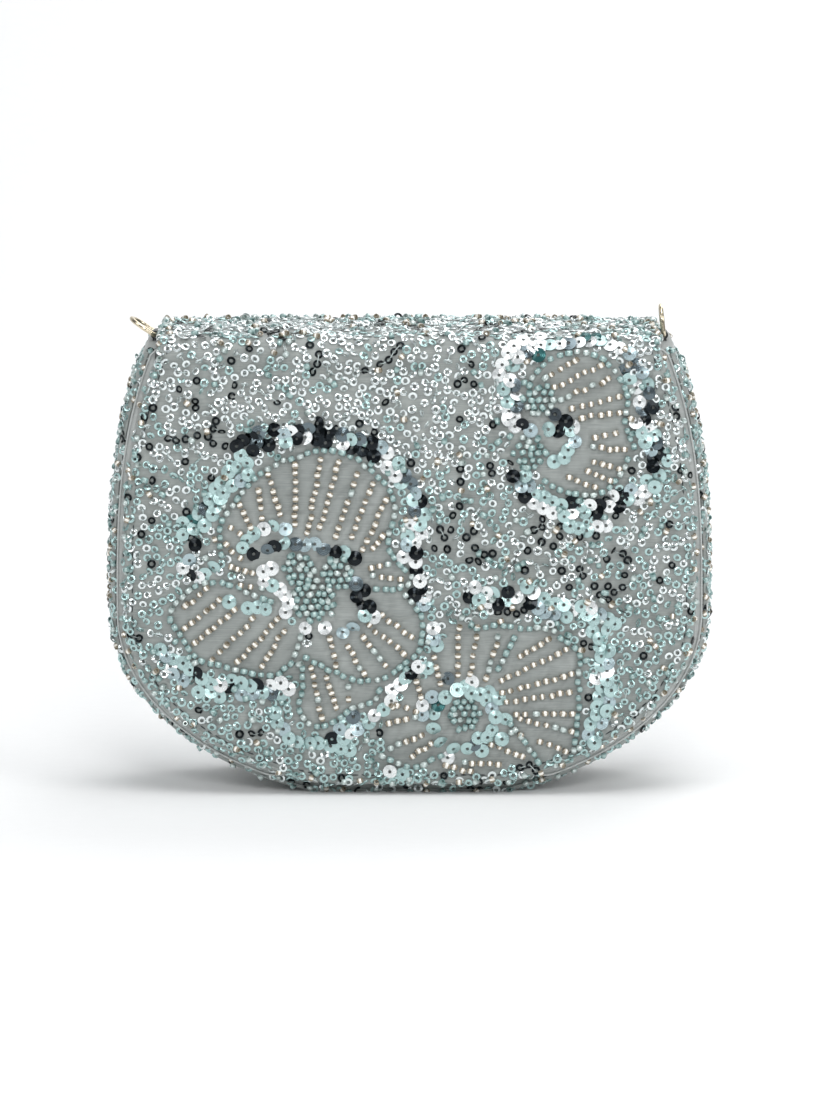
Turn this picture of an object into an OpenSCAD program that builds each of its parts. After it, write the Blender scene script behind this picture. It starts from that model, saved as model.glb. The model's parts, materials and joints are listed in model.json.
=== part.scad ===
// Embroidered evening bag: a half-moon box clutch with a full front flap,
// a magnetic snap and a small ring at each end of the mouth.
// X runs left to right, Y front to back, Z up. The origin is on the base, at its middle.

/* [Body] */
// Width at the widest line
body_w = 196; // [160:1:240]
// Height of the mouth above the base
body_h = 148; // [110:0.5:180]
// Depth of the body, front face to back face
body_d = 54; // [36:1:80]
// Width at the mouth
top_w = 172; // [130:1:190]
// Width of the flat base
base_w = 60; // [40:1:110]
// Height of the widest line above the base
belly_z = 60; // [45:1:80]
// How late the sides turn in towards the mouth
top_power = 3; // [2:0.1:5]

/* [Walls] */
// Thickness of the embroidered outer fabric and its wadding
fabric_t = 1.2; // [0.8:0.1:2]
// Thickness of the stiffening board
board_t = 1.6; // [1.2:0.1:2.4]
// Thickness of the satin lining
lining_t = 0.6; // [0.4:0.1:1]
// Thickness of the tape that binds the mouth
binding_t = 1; // [0.6:0.1:1.5]

/* [Flap] */
// How far the flap stays inside the body's outline
flap_inset = 4.2; // [3.6:0.1:8]
// Gap between the mouth and the closed flap
flap_gap = 0.3; // [0.2:0.1:1]

/* [Pocket] */
// Width of the slip pocket on the back lining
pocket_w = 100; // [70:1:116]
// Height of the slip pocket
pocket_h = 62; // [40:1:70]
// Height of the pocket's lower edge above the base
pocket_z = 40; // [32:1:48]
// Thickness of the flat pocket
pocket_t = 0.8; // [0.6:0.1:1.2]
// Height of the pocket's hem
pocket_hem_h = 6; // [4:1:10]

/* [Magnetic snap] */
// Diameter of the snap's two discs
snap_d = 14; // [12:1:18]
// Height of the snap's centre above the base
snap_z = 32; // [26:1:50]
// Diameter of the post on the flap's half
post_d = 5; // [3:0.5:6]
// Length of the post
post_len = 1.6; // [1:0.1:2]
// Clearance round the post in the recess
post_gap = 1.2; // [1:0.1:1.5]
// Clearance between the closed halves
snap_clearance = 0.2; // [0.1:0.05:0.4]
// Thickness of the stud's flange
stud_t = 1.2; // [0.8:0.1:1.6]
// Thickness of the magnet
magnet_t = 1.6; // [1.4:0.1:2]
// Thickness of the socket's base plate
base_plate_t = 0.6; // [0.4:0.1:1]
// Thickness of the socket's pressed cover
cover_t = 0.4; // [0.3:0.1:0.8]
// Diameter of the washers behind the snap
washer_d = 13; // [11:0.5:16]
// Diameter of a washer's middle hole
washer_bore_d = 3; // [2:0.5:4]
// Thickness of the washers behind the snap
washer_t = 0.6; // [0.4:0.1:0.8]
// Width of a clinch prong
prong_w = 3; // [2:0.5:4]
// Thickness of a clinch prong
prong_t = 0.6; // [0.4:0.1:0.8]
// Distance between the two prongs, centre to centre
prong_pitch = 6.3; // [5.8:0.1:8]
// Clearance round a prong in its slot
prong_gap = 0.1; // [0.05:0.05:0.2]

/* [Rings] */
// Diameter of the ring's wire
wire_d = 1.5; // [1:0.1:2]
// Distance between the ring's legs, centre to centre
ring_w = 10.5; // [10.5:0.5:16]
// Bend radius of the ring's two lower corners
ring_bend = 1.5; // [1:0.1:1.5]
// Length of the ring's straight legs
leg_len = 4.2; // [3:0.1:8]
// Width of the ribbon tab
tab_w = 7; // [5:0.5:7]
// Thickness of the ribbon tab
tab_t = 1; // [0.6:0.1:1.1]
// Length of the tab's tail inside the wall
tab_tail = 10; // [6:1:16]
// Wall of the tab's loop round the wire
loop_wall = 0.7; // [0.5:0.1:1]
// Clearance between the wire and the tab's loop
wire_gap = 0.05; // [0.02:0.01:0.1]
// How far the left ring is raised from level
left_ring_angle = 33; // [-15:1:90]
// How far the right ring is raised from level
right_ring_angle = 96; // [-15:1:96]

/* [Hidden] */

// Steps along each quarter of the outline, and fineness of the round parts
outline_steps = 24;
$fn = 48;

wall_t = fabric_t + board_t + lining_t;
flap_t = wall_t;
// The snap sits between the body's front face and the flap's lining
socket_t = base_plate_t + magnet_t + cover_t;
snap_gap = socket_t + snap_clearance + stud_t;
// The closed bag, flap included, is centred on the origin from front to back
overall_d = body_d + snap_gap + flap_t;
back_y = overall_d / 2;
front_y = back_y - body_d;
fold_y = front_y - snap_gap;
middle_y = (front_y + back_y) / 2;
// Height of the flap's hinge line and of its front fold
hinge_z = body_h + flap_gap;
flap_top_half_w = top_w / 2 - flap_inset;
// Lower quarter of the outline: an ellipse that the base cuts at base_w
base_semi = belly_z / sqrt(1 - pow(base_w / body_w, 2));
base_angle = asin(belly_z / base_semi);
// The outline runs on past the mouth, so that walls cut from it are open there
outline_over = 12;
// How far a cut runs past the face that it opens on
cut_over = 1;
// Snap
snap_r = snap_d / 2;
recess_r = post_d / 2 + post_gap;
prong_x = prong_pitch / 2;
washer_r = washer_d / 2;
washer_bore_r = washer_bore_d / 2;
// Rings
wire_r = wire_d / 2;
loop_bore_r = wire_r + wire_gap;
loop_r = loop_bore_r + loop_wall;
ring_x = top_w / 2 - fabric_t - tab_t / 2;
ring_z = body_h + loop_r;

// Half width of the body above its widest line
function side_x(z) =
    body_w / 2 - (body_w - top_w) / 2 * pow((z - belly_z) / (body_h - belly_z), top_power);

// Right-hand side of the outline, from the base up
right_side = concat(
    [for (i = [0 : outline_steps])
        let (a = base_angle * (1 - i / outline_steps))
        [body_w / 2 * cos(a), belly_z - base_semi * sin(a)]],
    [for (i = [1 : outline_steps])
        let (z = belly_z + (body_h - belly_z) * i / outline_steps)
        [side_x(z), z]],
    [[top_w / 2, body_h + outline_over]]
);
left_side = [for (i = [len(right_side) - 1 : -1 : 0]) [-right_side[i][0], right_side[i][1]]];

// Outline inset by a distance, cut off at a height
module outline(inset, top_z) {
    intersection() {
        offset(delta = -inset) polygon(concat(right_side, left_side));
        translate([-body_w, 0]) square([2 * body_w, top_z]);
    }
}

// One layer of the wall that runs round the outline, open at the mouth
module wall_layer(outer, inner, top_z) {
    difference() {
        outline(outer, top_z);
        outline(inner, top_z + cut_over);
    }
}

// Stands a flat shape upright, between two distances from front to back
module upright(from_y, to_y) {
    translate([0, to_y, 0]) rotate([90, 0, 0]) linear_extrude(to_y - from_y) children();
}

// A disc that faces front to back at the snap's place
module snap_disc(r, from_y, to_y) {
    translate([0, to_y, snap_z]) rotate([90, 0, 0]) cylinder(r = r, h = to_y - from_y);
}

// The two clinch prongs, or their slots when grown by a gap
module prongs(from_y, to_y, gap) {
    for (side = [-1, 1])
        translate([side * prong_x - prong_t / 2 - gap, from_y, snap_z - prong_w / 2 - gap])
            cube([prong_t + 2 * gap, to_y - from_y, prong_w + 2 * gap]);
}

// The flat tail of one ring tab, lying in the wall just under the outer fabric
module tab_tail(side) {
    upright(middle_y - tab_w / 2, middle_y + tab_w / 2)
        intersection() {
            wall_layer(fabric_t, fabric_t + tab_t, body_h);
            translate([side > 0 ? 0 : -body_w, body_h - tab_tail]) square([body_w, tab_tail]);
        }
}

module front_panel_fabric() {
    color("#a8aca7")
    difference() {
        upright(front_y, front_y + fabric_t) outline(0, body_h - binding_t);
        prongs(front_y - cut_over, front_y + fabric_t + cut_over, prong_gap);
    }
}

module front_board() {
    y = front_y + fabric_t;
    color("#8d8a80")
    difference() {
        upright(y, y + board_t) outline(fabric_t, body_h - binding_t);
        prongs(y - cut_over, y + board_t + cut_over, prong_gap);
        snap_disc(washer_r, y + board_t - washer_t, y + board_t + cut_over);
    }
}

module front_lining() {
    y = front_y + fabric_t + board_t;
    color("#b9bdbb")
    upright(y, y + lining_t) outline(fabric_t + board_t, body_h - binding_t);
}

module back_panel_fabric() {
    color("#a8aca7")
    upright(back_y - fabric_t, back_y) outline(0, body_h);
}

module back_board() {
    y = back_y - fabric_t - board_t;
    color("#8d8a80")
    upright(y, y + board_t) outline(fabric_t, body_h);
}

module back_lining() {
    color("#b9bdbb")
    upright(back_y - wall_t, back_y - wall_t + lining_t) outline(fabric_t + board_t, body_h);
}

module gusset_fabric() {
    color("#9ea5a1")
    upright(front_y + fabric_t, back_y - fabric_t)
        wall_layer(0, fabric_t, body_h - binding_t);
}

module gusset_board() {
    depth_in = fabric_t + board_t;
    color("#8d8a80")
    difference() {
        upright(front_y + depth_in, back_y - depth_in)
            wall_layer(fabric_t, depth_in, body_h - binding_t);
        for (side = [-1, 1]) tab_tail(side);
    }
}

module gusset_lining() {
    color("#b9bdbb")
    upright(front_y + wall_t, back_y - wall_t)
        wall_layer(fabric_t + board_t, wall_t, body_h - binding_t);
}

module mouth_binding() {
    color("#8b938f")
    difference() {
        intersection() {
            upright(front_y, back_y - wall_t) outline(0, body_h);
            translate([-body_w, front_y - cut_over, body_h - binding_t])
                cube([2 * body_w, body_d + 2 * cut_over, binding_t]);
        }
        upright(front_y + wall_t, back_y) outline(wall_t, body_h + cut_over);
        for (side = [-1, 1]) tab_tail(side);
    }
}

module slip_pocket() {
    color("#b2b7b5")
    translate([-pocket_w / 2, back_y - wall_t - pocket_t, pocket_z])
        cube([pocket_w, pocket_t, pocket_h]);
}

module slip_pocket_hem() {
    color("#8b938f")
    translate([-pocket_w / 2, back_y - wall_t - pocket_t, pocket_z + pocket_h])
        cube([pocket_w, pocket_t, pocket_hem_h]);
}

// One flat layer of the flap's top, between two heights over the hinge line
module flap_top_layer(from_t, to_t, inset) {
    half_w = flap_top_half_w - inset;
    translate([-half_w, fold_y + flap_gap + inset, hinge_z + from_t])
        cube([2 * half_w, back_y - fold_y - 2 * flap_gap - 2 * inset, to_t - from_t]);
}

module flap_top_fabric() {
    color("#a8aca7")
    difference() {
        flap_top_layer(lining_t, flap_t, 0);
        flap_top_layer(lining_t - cut_over, lining_t + board_t, fabric_t);
    }
}

module flap_top_board() {
    color("#8d8a80")
    flap_top_layer(lining_t, lining_t + board_t, fabric_t);
}

module flap_top_lining() {
    color("#b9bdbb")
    flap_top_layer(0, lining_t, 0);
}

module flap_front_fabric() {
    board_y = fold_y - lining_t - board_t;
    color("#a8aca7")
    difference() {
        upright(fold_y - flap_t, fold_y - lining_t) outline(flap_inset, hinge_z - flap_gap);
        upright(board_y, fold_y) outline(flap_inset + fabric_t, hinge_z - flap_gap - fabric_t);
    }
}

module flap_front_board() {
    board_y = fold_y - lining_t - board_t;
    color("#8d8a80")
    difference() {
        upright(board_y, fold_y - lining_t)
            outline(flap_inset + fabric_t, hinge_z - flap_gap - fabric_t);
        prongs(board_y - cut_over, fold_y, prong_gap);
        snap_disc(washer_r, board_y - cut_over, board_y + washer_t);
    }
}

module flap_front_lining() {
    color("#b9bdbb")
    difference() {
        upright(fold_y - lining_t, fold_y) outline(flap_inset, hinge_z - flap_gap);
        prongs(fold_y - lining_t - cut_over, fold_y + cut_over, prong_gap);
    }
}

module snap_socket_base() {
    color("#c9c9c4")
    union() {
        snap_disc(snap_r - cover_t, front_y - base_plate_t, front_y);
        prongs(front_y - base_plate_t / 2, front_y + fabric_t + board_t, 0);
    }
}

module snap_magnet() {
    magnet_y = front_y - base_plate_t - magnet_t;
    color("#5c5d60")
    difference() {
        snap_disc(snap_r - cover_t, magnet_y, magnet_y + magnet_t);
        snap_disc(recess_r, magnet_y - cut_over, magnet_y + magnet_t + cut_over);
    }
}

module snap_socket_cover() {
    color("#c9c9c4")
    difference() {
        snap_disc(snap_r, front_y - socket_t, front_y);
        snap_disc(snap_r - cover_t, front_y - socket_t + cover_t, front_y + cut_over);
        snap_disc(recess_r, front_y - socket_t - cut_over, front_y);
    }
}

// A washer with a small middle hole and a slot for each prong
module washer(from_y) {
    difference() {
        snap_disc(washer_r, from_y, from_y + washer_t);
        snap_disc(washer_bore_r, from_y - cut_over, from_y + washer_t + cut_over);
        prongs(from_y - cut_over, from_y + washer_t + cut_over, prong_gap);
    }
}

module snap_socket_washer() {
    color("#b9b9b2")
    washer(front_y + fabric_t + board_t - washer_t);
}

module snap_stud() {
    flange_y = fold_y + stud_t;
    color("#c9c9c4")
    union() {
        snap_disc(snap_r, fold_y, flange_y);
        snap_disc(post_d / 2, flange_y - stud_t / 2, flange_y + post_len);
        prongs(fold_y - lining_t - board_t, fold_y + stud_t / 2, 0);
    }
}

module snap_stud_washer() {
    color("#b9b9b2")
    washer(fold_y - lining_t - board_t);
}

// A ribbon tab: its tail in the wall, and a loop that holds the ring's bar
module ring_tab(side) {
    color("#3f4441")
    difference() {
        union() {
            tab_tail(side);
            translate([side * ring_x, middle_y + tab_w / 2, ring_z])
                rotate([90, 0, 0]) cylinder(r = loop_r, h = tab_w);
            translate([side * ring_x - tab_t / 2, middle_y - tab_w / 2, body_h - binding_t / 2])
                cube([tab_t, tab_w, loop_r]);
        }
        translate([side * ring_x, middle_y + tab_w / 2 + cut_over, ring_z])
            rotate([90, 0, 0]) cylinder(r = loop_bore_r, h = tab_w + 2 * cut_over);
    }
}

module left_ring_tab() {
    ring_tab(-1);
}

module right_ring_tab() {
    ring_tab(1);
}

// A bend in the ring's wire, turning by an angle round an upright axis
module wire_bend(radius, angle) {
    rotate_extrude(angle = angle) translate([radius, 0]) circle(r = wire_r);
}

// A wire ring: a straight bar, two legs and a round bow, raised by an angle from level
module d_ring(side, angle) {
    bar_len = ring_w - 2 * ring_bend;
    color("#cfc8b4")
    translate([side * ring_x, middle_y, ring_z])
    rotate([0, 0, side > 0 ? 0 : 180])
    rotate([0, -angle, 0])
    union() {
        translate([0, bar_len / 2, 0]) rotate([90, 0, 0]) cylinder(r = wire_r, h = bar_len);
        for (end = [0, 1])
            mirror([0, end, 0]) {
                translate([ring_bend, -bar_len / 2, 0]) rotate([0, 0, 180]) wire_bend(ring_bend, 90);
                translate([ring_bend, -ring_w / 2, 0])
                    rotate([0, 90, 0]) cylinder(r = wire_r, h = leg_len - ring_bend);
            }
        translate([leg_len, 0, 0]) rotate([0, 0, -90]) wire_bend(ring_w / 2, 180);
    }
}

module left_d_ring() {
    d_ring(-1, left_ring_angle);
}

module right_d_ring() {
    d_ring(1, right_ring_angle);
}

front_panel_fabric();
front_board();
front_lining();
back_panel_fabric();
back_board();
back_lining();
gusset_fabric();
gusset_board();
gusset_lining();
mouth_binding();
slip_pocket();
slip_pocket_hem();
flap_top_fabric();
flap_top_board();
flap_top_lining();
flap_front_fabric();
flap_front_board();
flap_front_lining();
snap_socket_base();
snap_magnet();
snap_socket_cover();
snap_socket_washer();
snap_stud();
snap_stud_washer();
left_ring_tab();
right_ring_tab();
left_d_ring();
right_d_ring();
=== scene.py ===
import json
import math
import random

import bpy
import numpy as np
from mathutils import Matrix, Vector, noise
from mathutils.bvhtree import BVHTree
from mathutils.kdtree import KDTree


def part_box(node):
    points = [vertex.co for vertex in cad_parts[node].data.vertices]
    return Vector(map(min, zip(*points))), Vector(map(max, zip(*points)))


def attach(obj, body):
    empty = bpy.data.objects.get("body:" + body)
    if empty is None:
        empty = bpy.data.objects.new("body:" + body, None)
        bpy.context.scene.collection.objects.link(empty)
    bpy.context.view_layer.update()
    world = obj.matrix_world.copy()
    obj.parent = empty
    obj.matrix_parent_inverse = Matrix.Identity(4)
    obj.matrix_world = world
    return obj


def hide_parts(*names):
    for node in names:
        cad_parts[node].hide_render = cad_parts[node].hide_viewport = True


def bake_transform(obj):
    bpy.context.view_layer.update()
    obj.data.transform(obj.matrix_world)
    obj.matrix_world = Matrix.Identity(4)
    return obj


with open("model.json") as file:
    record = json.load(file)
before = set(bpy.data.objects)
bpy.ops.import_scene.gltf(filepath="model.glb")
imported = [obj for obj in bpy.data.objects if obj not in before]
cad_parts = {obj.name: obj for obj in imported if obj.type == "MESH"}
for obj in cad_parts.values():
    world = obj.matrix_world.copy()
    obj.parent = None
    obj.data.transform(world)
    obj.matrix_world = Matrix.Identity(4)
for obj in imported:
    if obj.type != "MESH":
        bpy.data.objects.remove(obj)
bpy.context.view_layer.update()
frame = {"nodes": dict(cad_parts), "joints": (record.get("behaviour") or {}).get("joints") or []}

MM = 0.001

# ---------------------------------------------------------------- camera
# A long lens looks at the closed bag from straight in front, a little above it,
# far enough away that its sides hardly converge.
flap_low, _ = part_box("flap_front_fabric")
AIM = Vector((1.8 * MM, flap_low.y, 81.5 * MM))
CAMERA_ELEVATION = math.radians(8)
CAMERA_DISTANCE = 2.5
VIEW_HEIGHT = 362.5 * MM
camera_data = bpy.data.cameras.new("camera")
camera_data.sensor_width = 36
camera_data.lens = camera_data.sensor_width * CAMERA_DISTANCE / VIEW_HEIGHT
camera = bpy.data.objects.new("camera", camera_data)
camera.location = AIM + CAMERA_DISTANCE * Vector((0, -math.cos(CAMERA_ELEVATION), math.sin(CAMERA_ELEVATION)))
camera.rotation_euler = (math.pi / 2 - CAMERA_ELEVATION, 0, 0)
bpy.context.scene.collection.objects.link(camera)
bpy.context.scene.camera = camera
bpy.context.scene.view_settings.view_transform = "Standard"


# ---------------------------------------------------------------- studio
# A white paper sweep runs under the bag and curves up behind it. Large soft lamps
# stand overhead and to both sides, with grey gaps between them for the sequins to mirror.
def new_material(name, **sockets):
    """A material with one Principled BSDF, its plain values set by socket name."""
    material = bpy.data.materials.new(name)
    material.use_nodes = True
    shader = material.node_tree.nodes["Principled BSDF"]
    for socket, value in sockets.items():
        shader.inputs[socket.replace("_", " ")].default_value = value
    return material, shader


def mesh_object(name, vertices, faces, *materials):
    """A smooth mesh object at the origin, with its place in its mesh."""
    mesh = bpy.data.meshes.new(name)
    mesh.from_pydata([tuple(v) for v in vertices], [], faces)
    mesh.shade_smooth()
    made = bpy.data.objects.new(name, mesh)
    for material in materials:
        mesh.materials.append(material)
    bpy.context.scene.collection.objects.link(made)
    return made


def paper_sweep():
    """Floor and backdrop in one sheet, joined by a wide bend."""
    half_width, front, back, height, bend, steps = 3.0, -3.0, 1.2, 2.6, 0.8, 16
    section = [(front, 0.0), (back - bend, 0.0)]
    for i in range(1, steps + 1):
        turn = math.pi / 2 * i / steps
        section.append((back - bend + bend * math.sin(turn), bend - bend * math.cos(turn)))
    section.append((back, height))
    vertices = [(side * half_width, y, z) for y, z in section for side in (-1, 1)]
    faces = [(2 * i, 2 * i + 1, 2 * i + 3, 2 * i + 2) for i in range(len(section) - 1)]
    material, shader = new_material("white_paper", Roughness=0.9)
    grain = material.node_tree.nodes.new("ShaderNodeTexNoise")
    grain.inputs["Scale"].default_value = 900
    tint = material.node_tree.nodes.new("ShaderNodeMix")
    tint.data_type = "RGBA"
    tint.inputs["A"].default_value = (0.93, 0.93, 0.93, 1)
    tint.inputs["B"].default_value = (0.96, 0.96, 0.96, 1)
    material.node_tree.links.new(grain.outputs["Fac"], tint.inputs["Factor"])
    material.node_tree.links.new(tint.outputs["Result"], shader.inputs["Base Color"])
    mesh_object("paper_sweep", vertices, faces, material)


def lamp(name, place, size, power):
    """A square soft lamp that faces the bag."""
    data = bpy.data.lights.new(name, "AREA")
    data.size = size
    data.energy = power
    made = bpy.data.objects.new(name, data)
    made.location = place
    made.rotation_euler = (AIM - Vector(place)).to_track_quat("-Z", "Y").to_euler()
    bpy.context.scene.collection.objects.link(made)


paper_sweep()
lamp("overhead_lamp", (0.15, -0.3, 1.5), 1.1, 11)
lamp("left_lamp", (-1.1, -0.9, 0.9), 0.7, 5)
lamp("right_lamp", (1.2, -0.8, 0.8), 0.7, 6)
lamp("front_lamp", (0.15, -1.7, 0.9), 0.45, 8)
lamp("back_lamp", (0.4, 0.9, 1.1), 0.9, 6)
world = bpy.data.worlds.new("room")
bpy.context.scene.world = world
world.use_nodes = True
world.node_tree.nodes["Background"].inputs["Color"].default_value = (0.9, 0.95, 1.0, 1)
world.node_tree.nodes["Background"].inputs["Strength"].default_value = 0.24


# ---------------------------------------------------------------- outer fabric: back and hinge
# One piece of grey satin over thin wadding. It runs up the back of the bag, over the
# hinge line and on to the middle of the flap's top. It is glued round the board's edge.
FABRIC = 0.7 * MM
back_low, back_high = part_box("back_panel_fabric")
_, top_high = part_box("flap_top_fabric")
pivots = {joint["name"]: Vector(joint["pos_m"]) for joint in frame["joints"]}
middle_y = pivots["left_ring_swing"].y
STEP = 2.0 * MM


def outline_of(node, y):
    """Right-hand half of an upright panel's outline on its face at y, from its top to its lowest middle.

    The slots for the snap's prongs lie near the middle line and are left out.
    """
    beyond_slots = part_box(node)[1].x * 0.2
    face = {
        (round(v.co.x, 6), round(v.co.z, 6))
        for v in frame["nodes"][node].data.vertices
        if abs(v.co.y - y) < 0.01 * MM and v.co.x > beyond_slots
    }
    points = sorted(face, key=lambda p: (-p[1], -p[0]))
    return np.array(points + [(0.0, points[-1][1])])


def along(points, spacing):
    """The points of a line set again at an even spacing."""
    points = np.asarray(points, float)
    run = np.concatenate([[0], np.cumsum(np.linalg.norm(np.diff(points, axis=0), axis=1))])
    keep = np.concatenate([[True], np.diff(run) > 1e-9])
    even = np.linspace(0, run[-1], max(2, int(round(run[-1] / spacing)) + 1))
    return np.stack([np.interp(even, run[keep], points[keep, i]) for i in range(points.shape[1])], 1)


class Path:
    """The line that the cloth follows from front to back and up or down, bent at its corner if it has one."""

    def __init__(self, points, outward, bend=0.0):
        points = [np.array(p, float) for p in points]
        if len(points) == 3:
            start, corner, end = points
            a = (start - corner) / np.linalg.norm(start - corner)
            b = (end - corner) / np.linalg.norm(end - corner)
            centre = corner + (a + b) * bend
            turns = np.linspace(0, math.pi / 2, 33)
            arc = [centre - b * bend * math.cos(t) - a * bend * math.sin(t) for t in turns]
            self.bend_start = np.linalg.norm(corner - start) - bend
            points = [start, *arc, end]
        else:
            self.bend_start = 0.0
        self.bend_end = self.bend_start + math.pi / 2 * bend
        self.points = along(points, 0.25 * MM)
        self.s = np.concatenate([[0], np.cumsum(np.linalg.norm(np.diff(self.points, axis=0), axis=1))])
        self.length = self.s[-1]
        ahead = np.gradient(self.points, self.s, axis=0)
        ahead /= np.linalg.norm(ahead, axis=1)[:, None]
        self.normals = np.stack([-ahead[:, 1], ahead[:, 0]], 1)
        if self.normals[-1] @ np.array(outward, float) < 0:
            self.normals = -self.normals

    def at(self, s):
        """(y, z) and outward (y, z) at a distance along the path."""
        place = np.stack([np.interp(s, self.s, self.points[:, i]) for i in (0, 1)], -1)
        normal = np.stack([np.interp(s, self.s, self.normals[:, i]) for i in (0, 1)], -1)
        return place, normal / np.linalg.norm(normal, axis=-1, keepdims=True)


def pulled_in(line, distance):
    """A right-hand outline moved inwards by a distance, still meeting the middle line squarely."""
    ahead = np.gradient(line, axis=0)
    ahead /= np.linalg.norm(ahead, axis=1)[:, None]
    outward = np.stack([ahead[:, 1], -ahead[:, 0]], 1)
    outward[0], outward[-1] = (1, 0), (0, 1)
    moved = line - distance * outward
    moved[-1, 0] = 0
    return moved, outward


class Skin:
    """A sheet that covers one face of a wall and rolls round its edge.

    Its flat pattern has x across and s down the path. The edge is the right-hand outline in the pattern.
    """

    def __init__(self, name, path, edge, roll, turn, crown, inner_band=0.0, step=STEP):
        self.path, self.crown = path, crown
        edge = along(edge, step)
        self.edge = edge
        # a square corner of the grid sits where the outline has turned half way to the bottom
        line, outward = pulled_in(edge, roll)
        corner = int(np.argmax(outward[:, 1] > math.sqrt(0.5)))
        side, low = line[: corner + 1], line[corner:]
        rows, columns = len(side) - 1, len(low) - 1
        self.rows, self.columns = rows, columns
        v = np.linspace(0, 1, rows + 1)[:, None]
        u = np.linspace(-1, 1, 2 * columns + 1)[None, :]
        bottom = np.concatenate([low * (-1, 1), low[::-1][1:]])
        x = u * side[:, 0][:, None] + v * (bottom[:, 0][None, :] - u * side[-1, 0])
        s = side[:, 1][:, None] + v * (bottom[:, 1][None, :] - side[-1, 1])
        self.u, self.v = np.broadcast_to(u, x.shape), np.broadcast_to(v, x.shape)
        height = crown(x, s, self.u, self.v)
        flat = [np.stack([x, s], -1).reshape(-1, 2)]
        vertices = [self.place(x, s, height).reshape(-1, 3)]
        width = 2 * columns + 1
        index = np.arange((rows + 1) * width).reshape(rows + 1, width)
        faces = [
            (index[i, j], index[i, j + 1], index[i + 1, j + 1], index[i + 1, j])
            for i in range(rows)
            for j in range(width - 1)
        ]
        # the rolled edge: down the right side, along the bottom, up the left side
        ring = list(index[:, -1]) + list(index[-1, ::-1][1:]) + list(index[:-1, 0][::-1])
        right = np.concatenate([outward[: corner + 1], outward[corner + 1 :]])
        ring_out = np.concatenate([right, (right * (-1, 1))[::-1][1:]])
        ring_at = np.concatenate([line, (line * (-1, 1))[::-1][1:]])
        base = height.reshape(-1)[ring]
        steps = [(math.sin(t), 1 - math.cos(t)) for t in np.linspace(0, turn, 7)[1:]]
        if inner_band:
            steps.append((steps[-1][0] - inner_band / roll, steps[-1][1]))
        previous = ring
        for out, down in steps:
            at = ring_at + ring_out * roll * out
            start = sum(len(block) for block in vertices)
            vertices.append(self.place(at[:, 0], at[:, 1], base - roll * down))
            flat.append(at + ring_out * roll * down)
            ring = list(range(start, start + len(at)))
            faces += [
                (previous[k], previous[k + 1], ring[k + 1], ring[k])
                for k in range(len(ring) - 1)
            ]
            previous = ring
        self.vertices = np.concatenate(vertices)
        self.flat = np.concatenate(flat)
        self.faces = [tuple(int(i) for i in f) for f in faces]
        self.grid_count = (rows + 1) * width
        self.name = name
        self.face_outwards()

    def place(self, x, s, height):
        """Points of the pattern in the row frame, raised off the path by a height."""
        at, normal = self.path.at(s)
        lifted = at + normal * np.asarray(height)[..., None]
        return np.stack([x, lifted[..., 0], lifted[..., 1]], -1)

    def face_outwards(self):
        """Turns the faces round if they look towards the path's inner side."""
        a, b, c = (Vector(self.vertices[i]) for i in self.faces[0][:3])
        _, normal = self.path.at(self.flat[self.faces[0][0]][1])
        if (b - a).cross(c - a).dot(Vector((0, *normal))) < 0:
            self.faces = [f[::-1] for f in self.faces]

    def spot(self, x, s):
        """Where the finished cloth lies under a point of the pattern, and which way it faces."""
        if not hasattr(self, "tree"):
            self.tree = BVHTree.FromPolygons([Vector(v) for v in self.vertices], self.faces)
        at, normal = self.path.at(s)
        way = Vector((0, *normal))
        start = Vector((x, *at)) + way * 12 * MM
        hit, facing, _, _ = self.tree.ray_cast(start, -way, 30 * MM)
        if hit is None:
            return None
        return hit, facing if facing.dot(way) > 0 else -facing


def sewn(skin, material, thickness=FABRIC, inwards=True):
    """A skin's finished mesh: cloth with a thickness, and a map of the flat pattern for the weave."""
    made = mesh_object(skin.name, skin.vertices, skin.faces, material)
    weave = made.data.uv_layers.new(name="flat_pattern")
    corners = np.zeros(len(made.data.loops), np.int32)
    made.data.loops.foreach_get("vertex_index", corners)
    weave.data.foreach_set("uv", (skin.flat[corners] / (100 * MM)).astype(np.float32).ravel())
    made.modifiers.new("weld", "WELD").merge_threshold = 0.01 * MM
    wall = made.modifiers.new("thickness", "SOLIDIFY")
    wall.thickness = thickness
    wall.offset = -1 if inwards else 1
    wall.use_even_offset = False
    return finished(made)


def finished(made):
    """The object with its modifiers worked into its mesh."""
    graph = bpy.context.evaluated_depsgraph_get()
    mesh = bpy.data.meshes.new_from_object(
        made.evaluated_get(graph), preserve_all_data_layers=True, depsgraph=graph)
    made.modifiers.clear()
    made.data = mesh
    mesh.name = made.name
    mesh.set_sharp_from_angle(angle=math.radians(60))
    return made


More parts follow.
